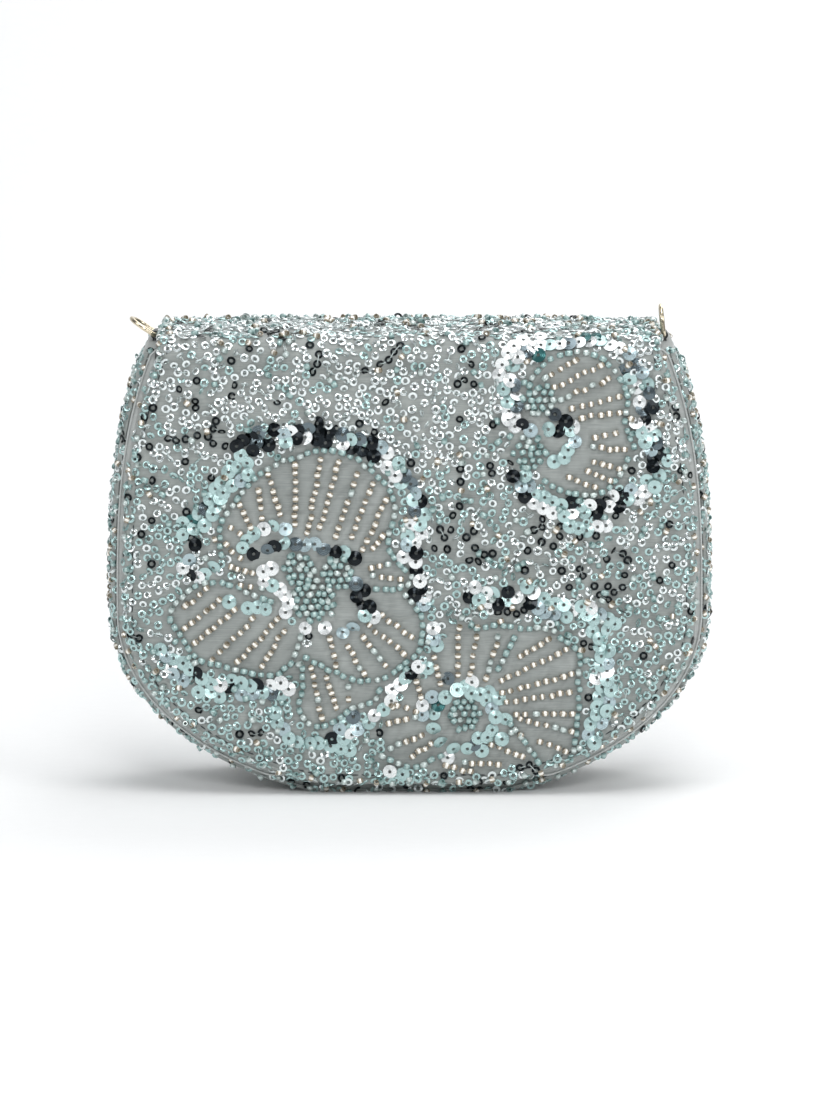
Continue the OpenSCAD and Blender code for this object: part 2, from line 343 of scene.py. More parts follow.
def weave_group():
    """Shader group: the over and under of a fine plain weave, with slubs, on the flat pattern."""
    group = bpy.data.node_groups.new("plain_weave", "ShaderNodeTree")
    group.interface.new_socket("Threads", in_out="INPUT", socket_type="NodeSocketFloat").default_value = 300
    group.interface.new_socket("Height", in_out="OUTPUT", socket_type="NodeSocketFloat")
    group.interface.new_socket("Slub", in_out="OUTPUT", socket_type="NodeSocketFloat")
    nodes, links = group.nodes, group.links
    given, given_out = nodes.new("NodeGroupInput"), nodes.new("NodeGroupOutput")
    pattern = nodes.new("ShaderNodeUVMap")
    pattern.uv_map = "flat_pattern"
    split = nodes.new("ShaderNodeSeparateXYZ")
    links.new(pattern.outputs["UV"], split.inputs[0])

    def maths(kind, a, b=None):
        node = nodes.new("ShaderNodeMath")
        node.operation = kind
        for socket, value in zip(node.inputs, (a, b)):
            if isinstance(value, (int, float)):
                socket.default_value = value
            elif value is not None:
                links.new(value, socket)
        return node.outputs[0]

    across = maths("MULTIPLY", split.outputs["X"], given.outputs["Threads"])
    down = maths("MULTIPLY", split.outputs["Y"], given.outputs["Threads"])
    ridges = maths("MULTIPLY", maths("SINE", across), maths("SINE", down))
    links.new(maths("ABSOLUTE", ridges), given_out.inputs["Height"])
    slub = nodes.new("ShaderNodeTexNoise")
    stretch = nodes.new("ShaderNodeMapping")
    stretch.inputs["Scale"].default_value = (4, 90, 1)
    links.new(pattern.outputs["UV"], stretch.inputs["Vector"])
    links.new(stretch.outputs["Vector"], slub.inputs["Vector"])
    slub.inputs["Scale"].default_value = 3
    links.new(slub.outputs["Fac"], given_out.inputs["Slub"])
    return group


PLAIN_WEAVE = weave_group()


def woven(name, dark, pale, threads=2600.0, roughness=0.5, sheen=0.3, depth=0.25):
    """Woven satin: cloudy colour between two tones, a fine weave and slubs in the bump, and a sheen."""
    material, shader = new_material(name, Roughness=roughness, Sheen_Weight=sheen, Sheen_Roughness=0.4)
    nodes, links = material.node_tree.nodes, material.node_tree.links
    weave = nodes.new("ShaderNodeGroup")
    weave.node_tree = PLAIN_WEAVE
    weave.inputs["Threads"].default_value = threads
    place = nodes.new("ShaderNodeTexCoord")
    cloud = nodes.new("ShaderNodeTexNoise")
    cloud.inputs["Scale"].default_value = 60
    cloud.inputs["Detail"].default_value = 4
    links.new(place.outputs["Object"], cloud.inputs["Vector"])
    shade = nodes.new("ShaderNodeMath")
    shade.operation = "ADD"
    links.new(cloud.outputs["Fac"], shade.inputs[0])
    links.new(weave.outputs["Slub"], shade.inputs[1])
    ramp = nodes.new("ShaderNodeValToRGB")
    ramp.color_ramp.elements[0].position = 0.35
    ramp.color_ramp.elements[0].color = (*dark, 1)
    ramp.color_ramp.elements[1].position = 0.65
    ramp.color_ramp.elements[1].color = (*pale, 1)
    half = nodes.new("ShaderNodeMath")
    half.operation = "MULTIPLY"
    half.inputs[1].default_value = 0.5
    links.new(shade.outputs[0], half.inputs[0])
    links.new(half.outputs[0], ramp.inputs["Fac"])
    links.new(ramp.outputs["Color"], shader.inputs["Base Color"])
    bump = nodes.new("ShaderNodeBump")
    bump.inputs["Strength"].default_value = depth
    bump.inputs["Distance"].default_value = 0.08 * MM
    relief = nodes.new("ShaderNodeMath")
    relief.operation = "ADD"
    links.new(weave.outputs["Height"], relief.inputs[0])
    links.new(weave.outputs["Slub"], relief.inputs[1])
    links.new(relief.outputs[0], bump.inputs["Height"])
    links.new(bump.outputs["Normal"], shader.inputs["Normal"])
    return material


SATIN_DARK, SATIN_PALE = (0.235, 0.255, 0.245), (0.36, 0.385, 0.37)
satin = woven("grey_satin", SATIN_DARK, SATIN_PALE, roughness=0.42)


def smooth(a, b, t):
    """0 before a, 1 after b, and a smooth rise between them."""
    t = np.clip((t - a) / (b - a), 0, 1)
    return t * t * (3 - 2 * t)


BACK_BEND, BACK_CROWN, TOP_CROWN = 4.0 * MM, 1.4 * MM, 1.2 * MM
BACKWARD, FORWARD = (1, 0), (-1, 0)
back_path = Path([(middle_y, top_high.z), (back_high.y, top_high.z), (back_high.y, 0)], BACKWARD, BACK_BEND)
body_outline = outline_of("back_panel_fabric", back_high.y)


def down_path(path, outline, top_half, shoulder):
    """An outline's pattern: the flap's straight top first, then the panel's own outline below a shoulder."""
    mouth_s = path.length - (outline[0, 1] - path.points[-1, 1])
    below = [(x, path.length - (z - path.points[-1, 1])) for x, z in outline if z < outline[0, 1] - shoulder]
    return np.array([(top_half, 0.0), (top_half, mouth_s - shoulder), *below])


def back_crown(x, s, u, v):
    lower = smooth(0, 12 * MM, back_path.length - s) * smooth(0, 30 * MM, s - back_path.bend_end)
    upper = 1 - smooth(-10 * MM, 0, s - back_path.bend_start)
    return (1 - np.abs(u) ** 4) * (BACK_CROWN * lower + TOP_CROWN * upper)


BACK_ROLL = 1.7 * MM
back_skin = Skin("back_and_hinge_fabric", back_path,
                 down_path(back_path, body_outline, top_high.x, 3 * MM),
                 BACK_ROLL, math.radians(115), back_crown)
back_fabric = sewn(back_skin, satin)
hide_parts("back_panel_fabric", "flap_top_fabric")
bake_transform(back_fabric)

# ---------------------------------------------------------------- embroidery: the three flowers' layout
# Three flowers are drawn on the flap in millimetres, right and up from the middle of its
# base: beaded petal outlines, rays of beads inside them, packed hearts, and borders of
# large sequins round the petals.
FOLD_BEND = 6.5 * MM
flap_path = Path(
    [(middle_y, top_high.z), (flap_low.y, top_high.z), (flap_low.y, flap_low.z)], FORWARD, FOLD_BEND)
flap_outline = outline_of("flap_front_fabric", flap_low.y)
DRAWN_WIDE, DRAWN_TALL, DRAWN_UP = 1.01, 1.02, 2.1


class Flower:
    def __init__(self, hearts, outlines, rays, borders):
        self.hearts, self.outlines, self.rays, self.borders = hearts, outlines, rays, borders


# Shares of white, aqua, blue, black, steel and teal discs for each border. The black share of the darker
# mixes is partly painted dark reflection, put where tilted discs mirror the dark room.
MIXES = {
    "pale": (3, 6, 2, 0, 0.2, 0.1),
    "white": (7, 2, 1, 0.5, 0.5, 0.2),
    "aqua": (1, 8, 1, 0.3, 0.4, 0.2),
    "some dark": (3, 4.5, 1.5, 2.2, 1, 0.3),
    "half dark": (2.5, 3, 1, 4, 1.5, 0.2),
    "dark": (1.5, 1, 0.5, 6, 2, 0.2),
    "tuft": (0, 1, 0, 1, 1, 8),
}
big_flower = Flower(
    hearts=[((-36, 72), 5), ((-23.5, 71), 5.5), ((-31, 62), 7)],
    outlines=[
        [(-61, 77), (-62, 84), (-59, 91), (-53, 99), (-46, 105), (-36, 109), (-28, 111), (-19, 109),
         (-11, 103), (-6, 97), (-5, 90), (-7, 81), (-4, 75), (1, 69), (-4, 66), (-11, 66)],
        [(-45, 62), (-51, 64), (-58, 67), (-66, 68), (-73, 64), (-78, 57), (-75, 51), (-69, 43), (-60, 40.5),
         (-50, 38), (-43, 38), (-38, 43), (-35.5, 50)],
        [(-3, 66), (1, 61), (4, 55), (3, 46), (-2, 41), (-8, 37), (-17, 36), (-25, 39), (-34, 43)],
        [(-35, 40), (-35, 33), (-36, 26), (-31, 21), (-24, 23), (-19, 27), (-12, 29), (-10, 33)],
    ],
    rays=[
        ((-55, 84), (-58, 86)), ((-52, 86), (-55, 93)), ((-48, 89), (-49, 98)), ((-42, 90), (-46, 103)),
        ((-37, 87), (-37, 106)), ((-33, 84), (-29, 108)), ((-29, 86), (-23, 107)), ((-24, 83), (-17, 103)),
        ((-19, 83), (-12, 100)), ((-15, 79), (-8, 95)), ((-12, 79), (-9, 83)), ((-12, 73), (-7, 74)),
        ((-12, 70), (-3, 69)), ((-55, 76), (-60, 80)), ((-51, 71), (-58, 73)), ((-48, 66), (-55, 67)),
        ((-73, 60), (-66, 66)), ((-73, 53), (-62, 62)), ((-70, 48), (-57, 59)), ((-64, 43), (-51, 56)),
        ((-56, 42), (-43, 56)), ((-48, 41), (-41, 52)), ((-9, 57), (1, 50)), ((-13, 54), (-2, 45)),
        ((-15, 50), (-8, 41)), ((-20, 47), (-15, 38)), ((-26, 50), (-24, 41)), ((-32, 40), (-29, 24)),
        ((-27, 37), (-24, 27)), ((-20, 34), (-20, 30)),
    ],
    borders=[
        ([(-57, 110), (-50, 114), (-41, 115), (-31, 117)], 2, "dark"),
        ([(-31, 116), (-22, 114), (-13, 112), (-6, 107)], 2, "half dark"),
        ([(-5, 106), (0, 98), (3, 91), (1, 83), (0, 75), (3, 64)], 2, "some dark"),
        ([(-52, 105), (-58, 102), (-63, 95), (-67, 89), (-73, 86)], 2, "aqua"),
        ([(-70, 81), (-71, 76), (-75, 71), (-69, 70), (-63, 72)], 1, "half dark"),
        ([(-64, 67), (-59, 62), (-52, 60), (-46, 59)], 1, "aqua"),
        ([(-54, 79), (-51, 84), (-46, 86), (-41, 86)], 1, "aqua"),
        ([(-50, 77), (-45, 79), (-39, 81), (-31, 80), (-24, 78), (-18, 76)], 1, "half dark"),
        ([(-16, 74), (-15, 69), (-16, 64), (-13, 58)], 2, "half dark"),
        ([(-45, 73), (-48, 71), (-45, 67), (-40, 64), (-40, 58)], 1, "white"),
        ([(-34, 53), (-28, 53.5), (-22, 52), (-16, 53)], 1, "half dark"),
        ([(-80, 47), (-75, 40), (-69, 35), (-62, 32)], 2, "some dark"),
        ([(-60, 36), (-54, 33), (-47, 33), (-41, 32)], 2, "half dark"),
        ([(-44, 26), (-41, 19), (-35, 16), (-27, 15), (-20, 13)], 1, "aqua"),
        ([(5, 38), (0, 40), (-5, 35), (-9, 29), (-15, 24), (-21, 19), (-24, 16)], 2, "some dark"),
    ],
)
low_flower = Flower(
    hearts=[((18, 25), 6)],
    outlines=[
        [(22, 53), (29, 54), (37, 53), (45, 53), (50, 49), (55, 45), (55, 36), (55, 25), (54, 13)],
        [(29, 40), (31, 44), (34, 50)],
        [(33, 22), (38, 15), (42, 9)],
        [(-9, 11), (-4, 9), (2, 7.5), (10, 11)],
    ],
    rays=[
        ((16, 38), (16, 53)), ((20, 38), (22, 53)), ((25, 37), (29, 50)), ((30, 36), (51, 46)),
        ((36, 44), (45, 49)), ((30, 32), (53, 38)), ((32, 29), (52, 32)), ((35, 25), (53, 25)),
        ((36, 23.5), (53, 19)), ((43, 16), (51, 13)), ((33, 19), (36, 18)), ((27, 15), (37, 11)),
        ((12, 8), (20, 6)), ((18, 9), (29, 8)), ((2, 26), (-4, 28)), ((2, 24), (-7, 22)),
        ((4, 18), (-6, 14)), ((7, 15), (1, 11)), ((4, 31), (2, 36)), ((10, 35), (8, 43)),
    ],
    borders=[
        ([(18, 35), (25, 32), (30, 24), (26, 16), (17, 12), (8, 15), (6, 24), (10, 32), (18, 35)], 2, "aqua"),
        ([(5, 64), (5, 58), (8, 53), (9, 47), (8, 41)], 1, "pale"),
        ([(19, 65), (27, 63), (35, 64), (42, 62)], 2, "some dark"),
        ([(42, 61), (50, 59), (58, 58), (65, 54)], 2, "pale"),
        ([(61, 53), (64, 46), (63, 38), (63, 29), (61, 21), (58, 12)], 2, "pale"),
        ([(-7, 6), (-3, 5), (1, 4.5)], 1, "white"),
        ([(41, 58), (43, 57)], 1, "tuft"),
    ],
)
side_flower = Flower(
    hearts=[((42, 127), 5), ((39, 110), 5.5)],
    outlines=[
        [(40, 134), (43, 138), (48, 141), (56, 142), (63, 140), (68, 134), (71, 127), (70, 120), (73, 112)],
        [(44, 101), (49, 98), (56, 96.5), (62, 97), (67, 101), (71, 108)],
    ],
    rays=[
        ((44, 134), (54, 140)), ((47, 131), (62, 138)), ((49, 127), (65, 134)), ((53, 124), (68, 128)),
        ((56, 121), (68, 123)), ((60, 115), (67, 116)), ((60, 112), (70, 111)), ((60, 107), (68, 105)),
        ((58, 104), (65, 101)), ((52, 102), (60, 99)),
    ],
    borders=[
        ([(44, 147), (37, 144), (33, 140), (31, 134), (33, 127), (33, 120)], 2, "white"),
        ([(45, 144), (51, 145), (58, 146), (65, 145), (71, 142)], 1, "white"),
        ([(71, 138), (75, 133), (77, 127), (76, 120), (78, 114), (81, 108)], 2, "some dark"),
        ([(35, 118), (40, 119), (46, 120), (52, 118)], 2, "half dark"),
        ([(54, 114), (51, 109), (47, 107)], 1, "aqua"),
        ([(36, 103), (40, 96), (47, 93), (54, 92), (60, 92)], 2, "some dark"),
        ([(62, 93), (69, 95), (75, 98), (80, 103)], 2, "some dark"),
        ([(52, 86), (58, 85), (64, 87)], 1, "some dark"),
        ([(39, 143), (42, 142)], 1, "tuft"),
        ([(57, 147), (60, 147)], 1, "tuft"),
    ],
)
FLOWERS = (big_flower, low_flower, side_flower)
PETALS = [
    big_flower.outlines[0] + [(-36, 72), (-48, 70)],
    big_flower.outlines[1] + [(-40, 58)],
    big_flower.outlines[2] + [(-31, 58), (-16, 66)],
    big_flower.outlines[3] + [(-18, 38), (-30, 45)],
    [(-31, 53), (-45, 62), (-52, 72), (-50, 82), (-36, 86), (-18, 80), (-11, 66), (-16, 54)],
    low_flower.outlines[0] + [(42, 9), (28, 6), (12, 5), (-9, 10), (-8, 24), (0, 34), (8, 40), (12, 53)],
    side_flower.outlines[0] + [(67, 101), (56, 96), (44, 101), (38, 108), (37, 128)],
]
BEAD_LONG, BEAD_ACROSS, BEAD_HOLE, BEAD_PITCH, HEART_PITCH = 2.1 * MM, 2.1 * MM, 0.8 * MM, 2.85 * MM, 2.5 * MM
LARGE_OUTER, LARGE_HOLE, LARGE_PITCH = 4.8 * MM, 1.1 * MM, 3.2 * MM


def on_flap(x, z):
    """A place of the drawing, in millimetres, on the flap's pattern."""
    z = z * DRAWN_TALL + DRAWN_UP
    return x * DRAWN_WIDE * MM, flap_path.length - (z * MM - flap_low.z)


def curve_through(points, spacing):
    """Evenly spaced places on a smooth curve through the points of the layout."""
    p = np.array([points[0], *points, points[-1]], float)
    run = []
    for i in range(1, len(p) - 2):
        for t in np.linspace(0, 1, 12, endpoint=False):
            run.append(0.5 * (2 * p[i] + (p[i + 1] - p[i - 1]) * t
                              + (2 * p[i - 1] - 5 * p[i] + 4 * p[i + 1] - p[i + 2]) * t * t
                              + (3 * p[i] - p[i - 1] - 3 * p[i + 1] + p[i + 2]) * t ** 3))
    run.append(p[-1])
    return [on_flap(*q) for q in along(np.array(run), spacing / MM)]


def in_outline(x, s, outline):
    """Whether a place on the pattern lies within a closed outline of the pattern."""
    inside = False
    for (x1, s1), (x2, s2) in zip(outline, outline[1:] + outline[:1]):
        if (s1 > s) != (s2 > s) and x < x1 + (s - s1) / (s2 - s1) * (x2 - x1):
            inside = not inside
    return inside


petal_outlines = [[on_flap(*p) for p in petal] for petal in PETALS]
outline_rows = [curve_through(line, BEAD_PITCH) for flower in FLOWERS for line in flower.outlines]
ray_rows = []
for flower in FLOWERS:
    for start, end in flower.rays:
        ray_rows.append([on_flap(*p) for p in along(np.array([start, end]), BEAD_PITCH / MM)])

# ---------------------------------------------------------------- outer fabric: the flap's front
# The same satin goes on over the soft front fold and down the flap. It is held only
# where beads are stitched through it, so it puffs up a little between their rows.
FRONT_CROWN, FLAP_STEP = 2.2 * MM, 1.4 * MM
HELD_NEAR, PUFF_CAP, PUFF_SCALE = 1.7 * MM, 1.3 * MM, 10


def flap_crown(x, s, u, v):
    front = smooth(0, 26 * MM, flap_path.length - s) * smooth(0, 30 * MM, s - flap_path.bend_end)
    upper = 1 - smooth(-10 * MM, 0, s - flap_path.bend_start)
    return (1 - np.abs(u) ** 4) * (FRONT_CROWN * front + TOP_CROWN * upper)


flap_skin = Skin("flap_fabric", flap_path, down_path(flap_path, flap_outline, top_high.x, 1 * MM),
                 BACK_ROLL, math.pi, flap_crown, inner_band=1 * MM, step=FLAP_STEP)


def held_places():
    """Which points of the flap's cloth are held: by rows of beads, at its edge, and scattered elsewhere."""
    sewn_down = [at for row in outline_rows + ray_rows for at in row]
    for flower in FLOWERS:
        sewn_down += [at for points, _, _ in flower.borders for at in curve_through(points, LARGE_PITCH)]
        for centre, radius in flower.hearts:
            sewn_down += [
                on_flap(centre[0] + r * math.cos(t), centre[1] + r * math.sin(t))
                for r in np.arange(0, radius, 2)
                for t in np.linspace(0, 2 * math.pi, 12)
            ]
    tree = KDTree(len(sewn_down))
    for i, (x, s) in enumerate(sewn_down):
        tree.insert((x, s, 0), i)
    tree.balance()
    rng = random.Random(5)
    held = []
    for i, ((x, s), u, v) in enumerate(zip(flap_skin.flat, flap_skin.u.ravel(), flap_skin.v.ravel())):
        at_edge = abs(u) > 0.985 or v > 0.985 or s < flap_path.bend_end
        near = tree.find((x, s, 0))[2] < HELD_NEAR
        ground = not any(in_outline(x, s, petal) for petal in petal_outlines)
        if at_edge or near or (ground and rng.random() < 0.3):
            held.append(i)
    return held


def puff(skin, held, looseness, pressure):
    """Lets a skin's cloth puff up between the points where it is held, by a short cloth simulation."""
    count = skin.grid_count
    flat_faces = [f for f in skin.faces if max(f) < count]
    cloth = mesh_object(skin.name + "_cloth", skin.vertices[:count] * PUFF_SCALE, flat_faces)
    cloth.vertex_groups.new(name="held").add(held, 1.0, "REPLACE")
    modifier = cloth.modifiers.new("cloth", "CLOTH")
    modifier.settings.quality = 4
    modifier.settings.mass = 0.2
    modifier.settings.vertex_group_mass = "held"
    modifier.settings.shrink_min = -looseness
    modifier.settings.use_pressure = True
    modifier.settings.uniform_pressure_force = pressure
    modifier.settings.effector_weights.gravity = 0
    modifier.point_cache.frame_end = 20
    for number in range(1, 21):
        bpy.context.scene.frame_set(number)
    moved = np.zeros(count * 3)
    cloth.evaluated_get(bpy.context.evaluated_depsgraph_get()).data.vertices.foreach_get("co", moved)
    shift = moved.reshape(-1, 3) / PUFF_SCALE - skin.vertices[:count]
    far = np.linalg.norm(shift, axis=1, keepdims=True)
    skin.vertices[:count] += shift * np.minimum(1, PUFF_CAP / np.maximum(far, 1e-9))
    bpy.data.objects.remove(cloth)
    bpy.context.scene.frame_set(1)


puff(flap_skin, held_places(), 0.06, 9.0)
flap_fabric = sewn(flap_skin, satin)
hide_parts("flap_front_fabric")
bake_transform(flap_fabric)

# ---------------------------------------------------------------- outer fabric: front panel of the body
# The panel behind the flap, of the same satin. Its top edge is caught under the mouth's tape,
# and its other edges are turned in towards the gusset.
front_low, front_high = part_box("front_panel_fabric")
PANEL_CROWN = 0.9 * MM


def upright_pattern(outline, foot_z, length):
    """A right-hand outline as a pattern whose s runs down from the mouth."""
    return np.stack([outline[:, 0], length - (outline[:, 1] - foot_z)], 1)


def panel_crown(length, rise):
    """A rise that fades out towards all four edges."""
    def crown(x, s, u, v):
        return rise * (1 - np.abs(u) ** 4) * smooth(0, 25 * MM, s) * smooth(0, 20 * MM, length - s)
    return crown


front_outline = outline_of("front_panel_fabric", front_low.y)
front_path = Path([(front_low.y, front_high.z), (front_low.y, 0)], FORWARD)
front_skin = Skin("front_panel_skin", front_path, upright_pattern(front_outline, 0, front_path.length),
                  BACK_ROLL, math.radians(115), panel_crown(front_path.length, PANEL_CROWN))
front_fabric = sewn(front_skin, satin)
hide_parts("front_panel_fabric")
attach(front_fabric, "body")

# ---------------------------------------------------------------- outer fabric: gusset
# A long strip of the satin runs down one side, under the base and up the other side.
# It is seamed to both panels in a shallow crease, and bulges slightly between them.
GUSSET_BULGE, SEAM_DEPTH, SEAM_ROUND = 0.9 * MM, 1.7 * MM, 1.6 * MM
mouth_z = front_high.z


class Band:
    """A strip that follows the body's outline round from one end of the mouth to the other."""

    def __init__(self, name, outline, ys, rises, facing=1, step=STEP):
        half = along(outline, step)
        _, outward = pulled_in(half * (1, -1), 0)
        line = np.concatenate([half, (half * (-1, 1))[::-1][1:]])
        outward = np.concatenate([outward * (1, -1), (outward * (-1, -1))[::-1][1:]])
        self.line, self.outward, self.facing, self.name = line, outward, facing, name
        self.run = np.concatenate([[0], np.cumsum(np.linalg.norm(np.diff(line, axis=0), axis=1))])
        ys = np.asarray(ys, float)
        rise = rises(line, ys)
        at = line[:, None, :] + outward[:, None, :] * rise[:, :, None]
        at[..., 1] = np.maximum(at[..., 1], min(outline[:, 1]))
        self.vertices = np.stack([at[..., 0], np.broadcast_to(ys, rise.shape), at[..., 1]], -1).reshape(-1, 3)
        self.flat = np.stack(np.meshgrid(self.run, ys, indexing="ij"), -1).reshape(-1, 2)
        index = np.arange(rise.size).reshape(rise.shape)
        faces = [
            (int(index[i, j]), int(index[i, j + 1]), int(index[i + 1, j + 1]), int(index[i + 1, j]))
            for i in range(rise.shape[0] - 1)
            for j in range(rise.shape[1] - 1)
        ]
        a, b, c = (Vector(self.vertices[i]) for i in faces[0][:3])
        away = Vector((outward[0, 0], 0, outward[0, 1])) * facing
        self.faces = faces if (b - a).cross(c - a).dot(away) > 0 else [f[::-1] for f in faces]

    def spot(self, run, y):
        """Where the cloth lies at a distance round the outline, and which way it faces."""
        if not hasattr(self, "tree"):
            self.tree = BVHTree.FromPolygons([Vector(v) for v in self.vertices], self.faces)
        x, z, out_x, out_z = (
            float(np.interp(run, self.run, values))
            for values in (*self.line.T, *self.outward.T)
        )
        way = Vector((out_x, 0, out_z)).normalized() * self.facing
        hit, facing, _, _ = self.tree.ray_cast(Vector((x, y, z)) + way * 8 * MM, -way, 20 * MM)
        return None if hit is None else (hit, facing if facing.dot(way) > 0 else -facing)


gusset_front = front_low.y + BACK_ROLL * 0.9
gusset_back = back_high.y - BACK_ROLL * 0.9


def gusset_rise(line, ys):
    """How far the strip stands off the outline: sunk at both seams, bulging between, flat under the base."""
    edge = np.minimum(ys - gusset_front, gusset_back - ys)
    sunk = -SEAM_DEPTH * (1 - np.sqrt(1 - (1 - np.clip(edge / SEAM_ROUND, 0, 1)) ** 2))
    middle = 1 - ((ys - (gusset_front + gusset_back) / 2) / ((gusset_back - gusset_front) / 2)) ** 2
    lifted = smooth(4 * MM, 25 * MM, line[:, 1])[:, None]
    return sunk[None, :] + GUSSET_BULGE * middle[None, :] * lifted


def rows_between(start, end, step, round_in):
    """Rows across a strip, closer together where it rounds into its seams."""
    close = start + round_in * (1 - np.cos(np.linspace(0, math.pi / 2, 6)))
    far = start + end - close[::-1]
    count = int(round((far[0] - close[-1]) / step))
    return np.concatenate([close, np.linspace(close[-1], far[0], count + 1)[1:-1], far])


gusset_outline = np.array([p for p in body_outline if p[1] < mouth_z])
gusset_outline = np.concatenate([[(front_outline[0, 0], mouth_z)], gusset_outline])
gusset_band = Band(
    "gusset_skin", gusset_outline, rows_between(gusset_front, gusset_back, STEP, SEAM_ROUND), gusset_rise)
gusset_fabric = sewn(gusset_band, satin)
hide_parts("gusset_fabric")
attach(gusset_fabric, "body")

# ---------------------------------------------------------------- embroidery: small ring sequins
# Cupped plastic rings, plated silver, aqua or graphite. The graphite rings stand partly for dark
# rings and partly for painted dark reflection, where tilted rings mirror the dark room. They are
# sewn on in short wandering chains, each ring held by a thread that runs on to the next.
SMALL_OUTER, SMALL_HOLE, SMALL_THICK, SMALL_CUP = 2.8 * MM, 1.3 * MM, 0.16 * MM, math.radians(14)
SMALL_PITCH, SMALL_APART, CLOTH_PER_RING = 2.9 * MM, 2.5 * MM, 15 * MM * MM
RING_LIFT, GROOVE_PITCH = 0.35 * MM, 0.55 * MM


def plated(name, colour, roughness, metal, coat=0.0):
    """Plated plastic: one metallic colour, its mirror broken up by a fine unevenness from the mould."""
    material, shader = new_material(name, Base_Color=(*colour, 1), Metallic=metal, Coat_Weight=coat)
    nodes, links = material.node_tree.nodes, material.node_tree.links
    place = nodes.new("ShaderNodeTexCoord")
    uneven = nodes.new("ShaderNodeTexNoise")
    uneven.inputs["Scale"].default_value = 420
    links.new(place.outputs["Object"], uneven.inputs["Vector"])
    range_node = nodes.new("ShaderNodeMapRange")
    range_node.inputs["To Min"].default_value = roughness * 0.6
    range_node.inputs["To Max"].default_value = roughness * 1.5
    links.new(uneven.outputs["Fac"], range_node.inputs["Value"])
    links.new(range_node.outputs["Result"], shader.inputs["Roughness"])
    radius = nodes.new("ShaderNodeAttribute")
    radius.attribute_name = "from_hole"
    turns = nodes.new("ShaderNodeMath")
    turns.operation = "MULTIPLY"
    turns.inputs[1].default_value = 2 * math.pi / GROOVE_PITCH
    groove = nodes.new("ShaderNodeMath")
    groove.operation = "SINE"
    relief = nodes.new("ShaderNodeMath")
    relief.operation = "ADD"
    links.new(radius.outputs["Fac"], turns.inputs[0])
    links.new(turns.outputs[0], groove.inputs[0])
    links.new(groove.outputs[0], relief.inputs[0])
    links.new(uneven.outputs["Fac"], relief.inputs[1])
    bump = nodes.new("ShaderNodeBump")
    bump.inputs["Strength"].default_value = 0.35
    bump.inputs["Distance"].default_value = 0.04 * MM
    links.new(relief.outputs[0], bump.inputs["Height"])
    links.new(bump.outputs["Normal"], shader.inputs["Normal"])
    return material


# the graphite finish is partly painted dark reflection: dark rings put where tilted rings mirror the dark
# room
SMALL_FINISHES = [
    plated("small_silver", (0.80, 0.86, 0.86), 0.2, 0.85),
    plated("small_aqua", (0.45, 0.62, 0.61), 0.24, 0.8),
    plated("small_graphite_and_dark_reflection", (0.012, 0.016, 0.018), 0.16, 0.9),
]
SILVER, AQUA, GRAPHITE_AND_DARK_REFLECTION = range(3)


def node_tree(name, sizes):
    """A geometry tree with a geometry input and one named float input for each size."""
    tree = bpy.data.node_groups.new(name, "GeometryNodeTree")
    tree.interface.new_socket("Geometry", in_out="INPUT", socket_type="NodeSocketGeometry")
    for size in sizes:
        tree.interface.new_socket(size, in_out="INPUT", socket_type="NodeSocketFloat")
    tree.interface.new_socket("Geometry", in_out="OUTPUT", socket_type="NodeSocketGeometry")
    return tree, tree.nodes.new("NodeGroupInput"), tree.nodes.new("NodeGroupOutput")


def maths(tree, kind, a, b=0.0):
    """A float Math node in a tree, with sockets or numbers as its two inputs."""
    node = tree.nodes.new("ShaderNodeMath")
    node.operation = kind
    for socket, value in zip(node.inputs, (a, b)):
        if isinstance(value, bpy.types.NodeSocket):
            tree.links.new(value, socket)
        else:
            socket.default_value = value
    return node.outputs[0]


def named(tree, attribute, kind):
    """An attribute of the points, by name."""
    node = tree.nodes.new("GeometryNodeInputNamedAttribute")
    node.data_type = kind
    node.inputs["Name"].default_value = attribute
    return node.outputs["Attribute"]


def set_on_points(tree, points, shape, finishes, output):
    """Puts the shape on each point, turned and sized as the point says, and gives each its finish."""
    put = tree.nodes.new("GeometryNodeInstanceOnPoints")
    turn = tree.nodes.new("FunctionNodeEulerToRotation")
    tree.links.new(points, put.inputs["Points"])
    tree.links.new(shape, put.inputs["Instance"])
    tree.links.new(named(tree, "turn", "FLOAT_VECTOR"), turn.inputs[0])
    tree.links.new(turn.outputs[0], put.inputs["Rotation"])
    tree.links.new(named(tree, "size", "FLOAT_VECTOR"), put.inputs["Scale"])
    real = tree.nodes.new("GeometryNodeRealizeInstances")
    tree.links.new(put.outputs[0], real.inputs[0])
    geometry = real.outputs[0]
    # a shape with two parts takes two finishes, the second one after all the first ones
    count = len(finishes) // 2
    finish = maths(
        tree, "ADD", named(tree, "finish", "INT"), maths(tree, "MULTIPLY", named(tree, "part", "INT"), count))
    for number, material in enumerate(finishes):
        same = tree.nodes.new("FunctionNodeCompare")
        same.data_type = "INT"
        same.operation = "EQUAL"
        tree.links.new(finish, same.inputs[2])
        same.inputs[3].default_value = number
        coat = tree.nodes.new("GeometryNodeSetMaterial")
        coat.inputs["Material"].default_value = material
        tree.links.new(geometry, coat.inputs["Geometry"])
        tree.links.new(same.outputs["Result"], coat.inputs["Selection"])
        geometry = coat.outputs[0]
    for attribute in ("turn", "size", "finish", "part"):
        drop = tree.nodes.new("GeometryNodeRemoveAttribute")
        drop.inputs["Name"].default_value = attribute
        tree.links.new(geometry, drop.inputs["Geometry"])
        geometry = drop.outputs[0]
    tree.links.new(geometry, output.inputs["Geometry"])


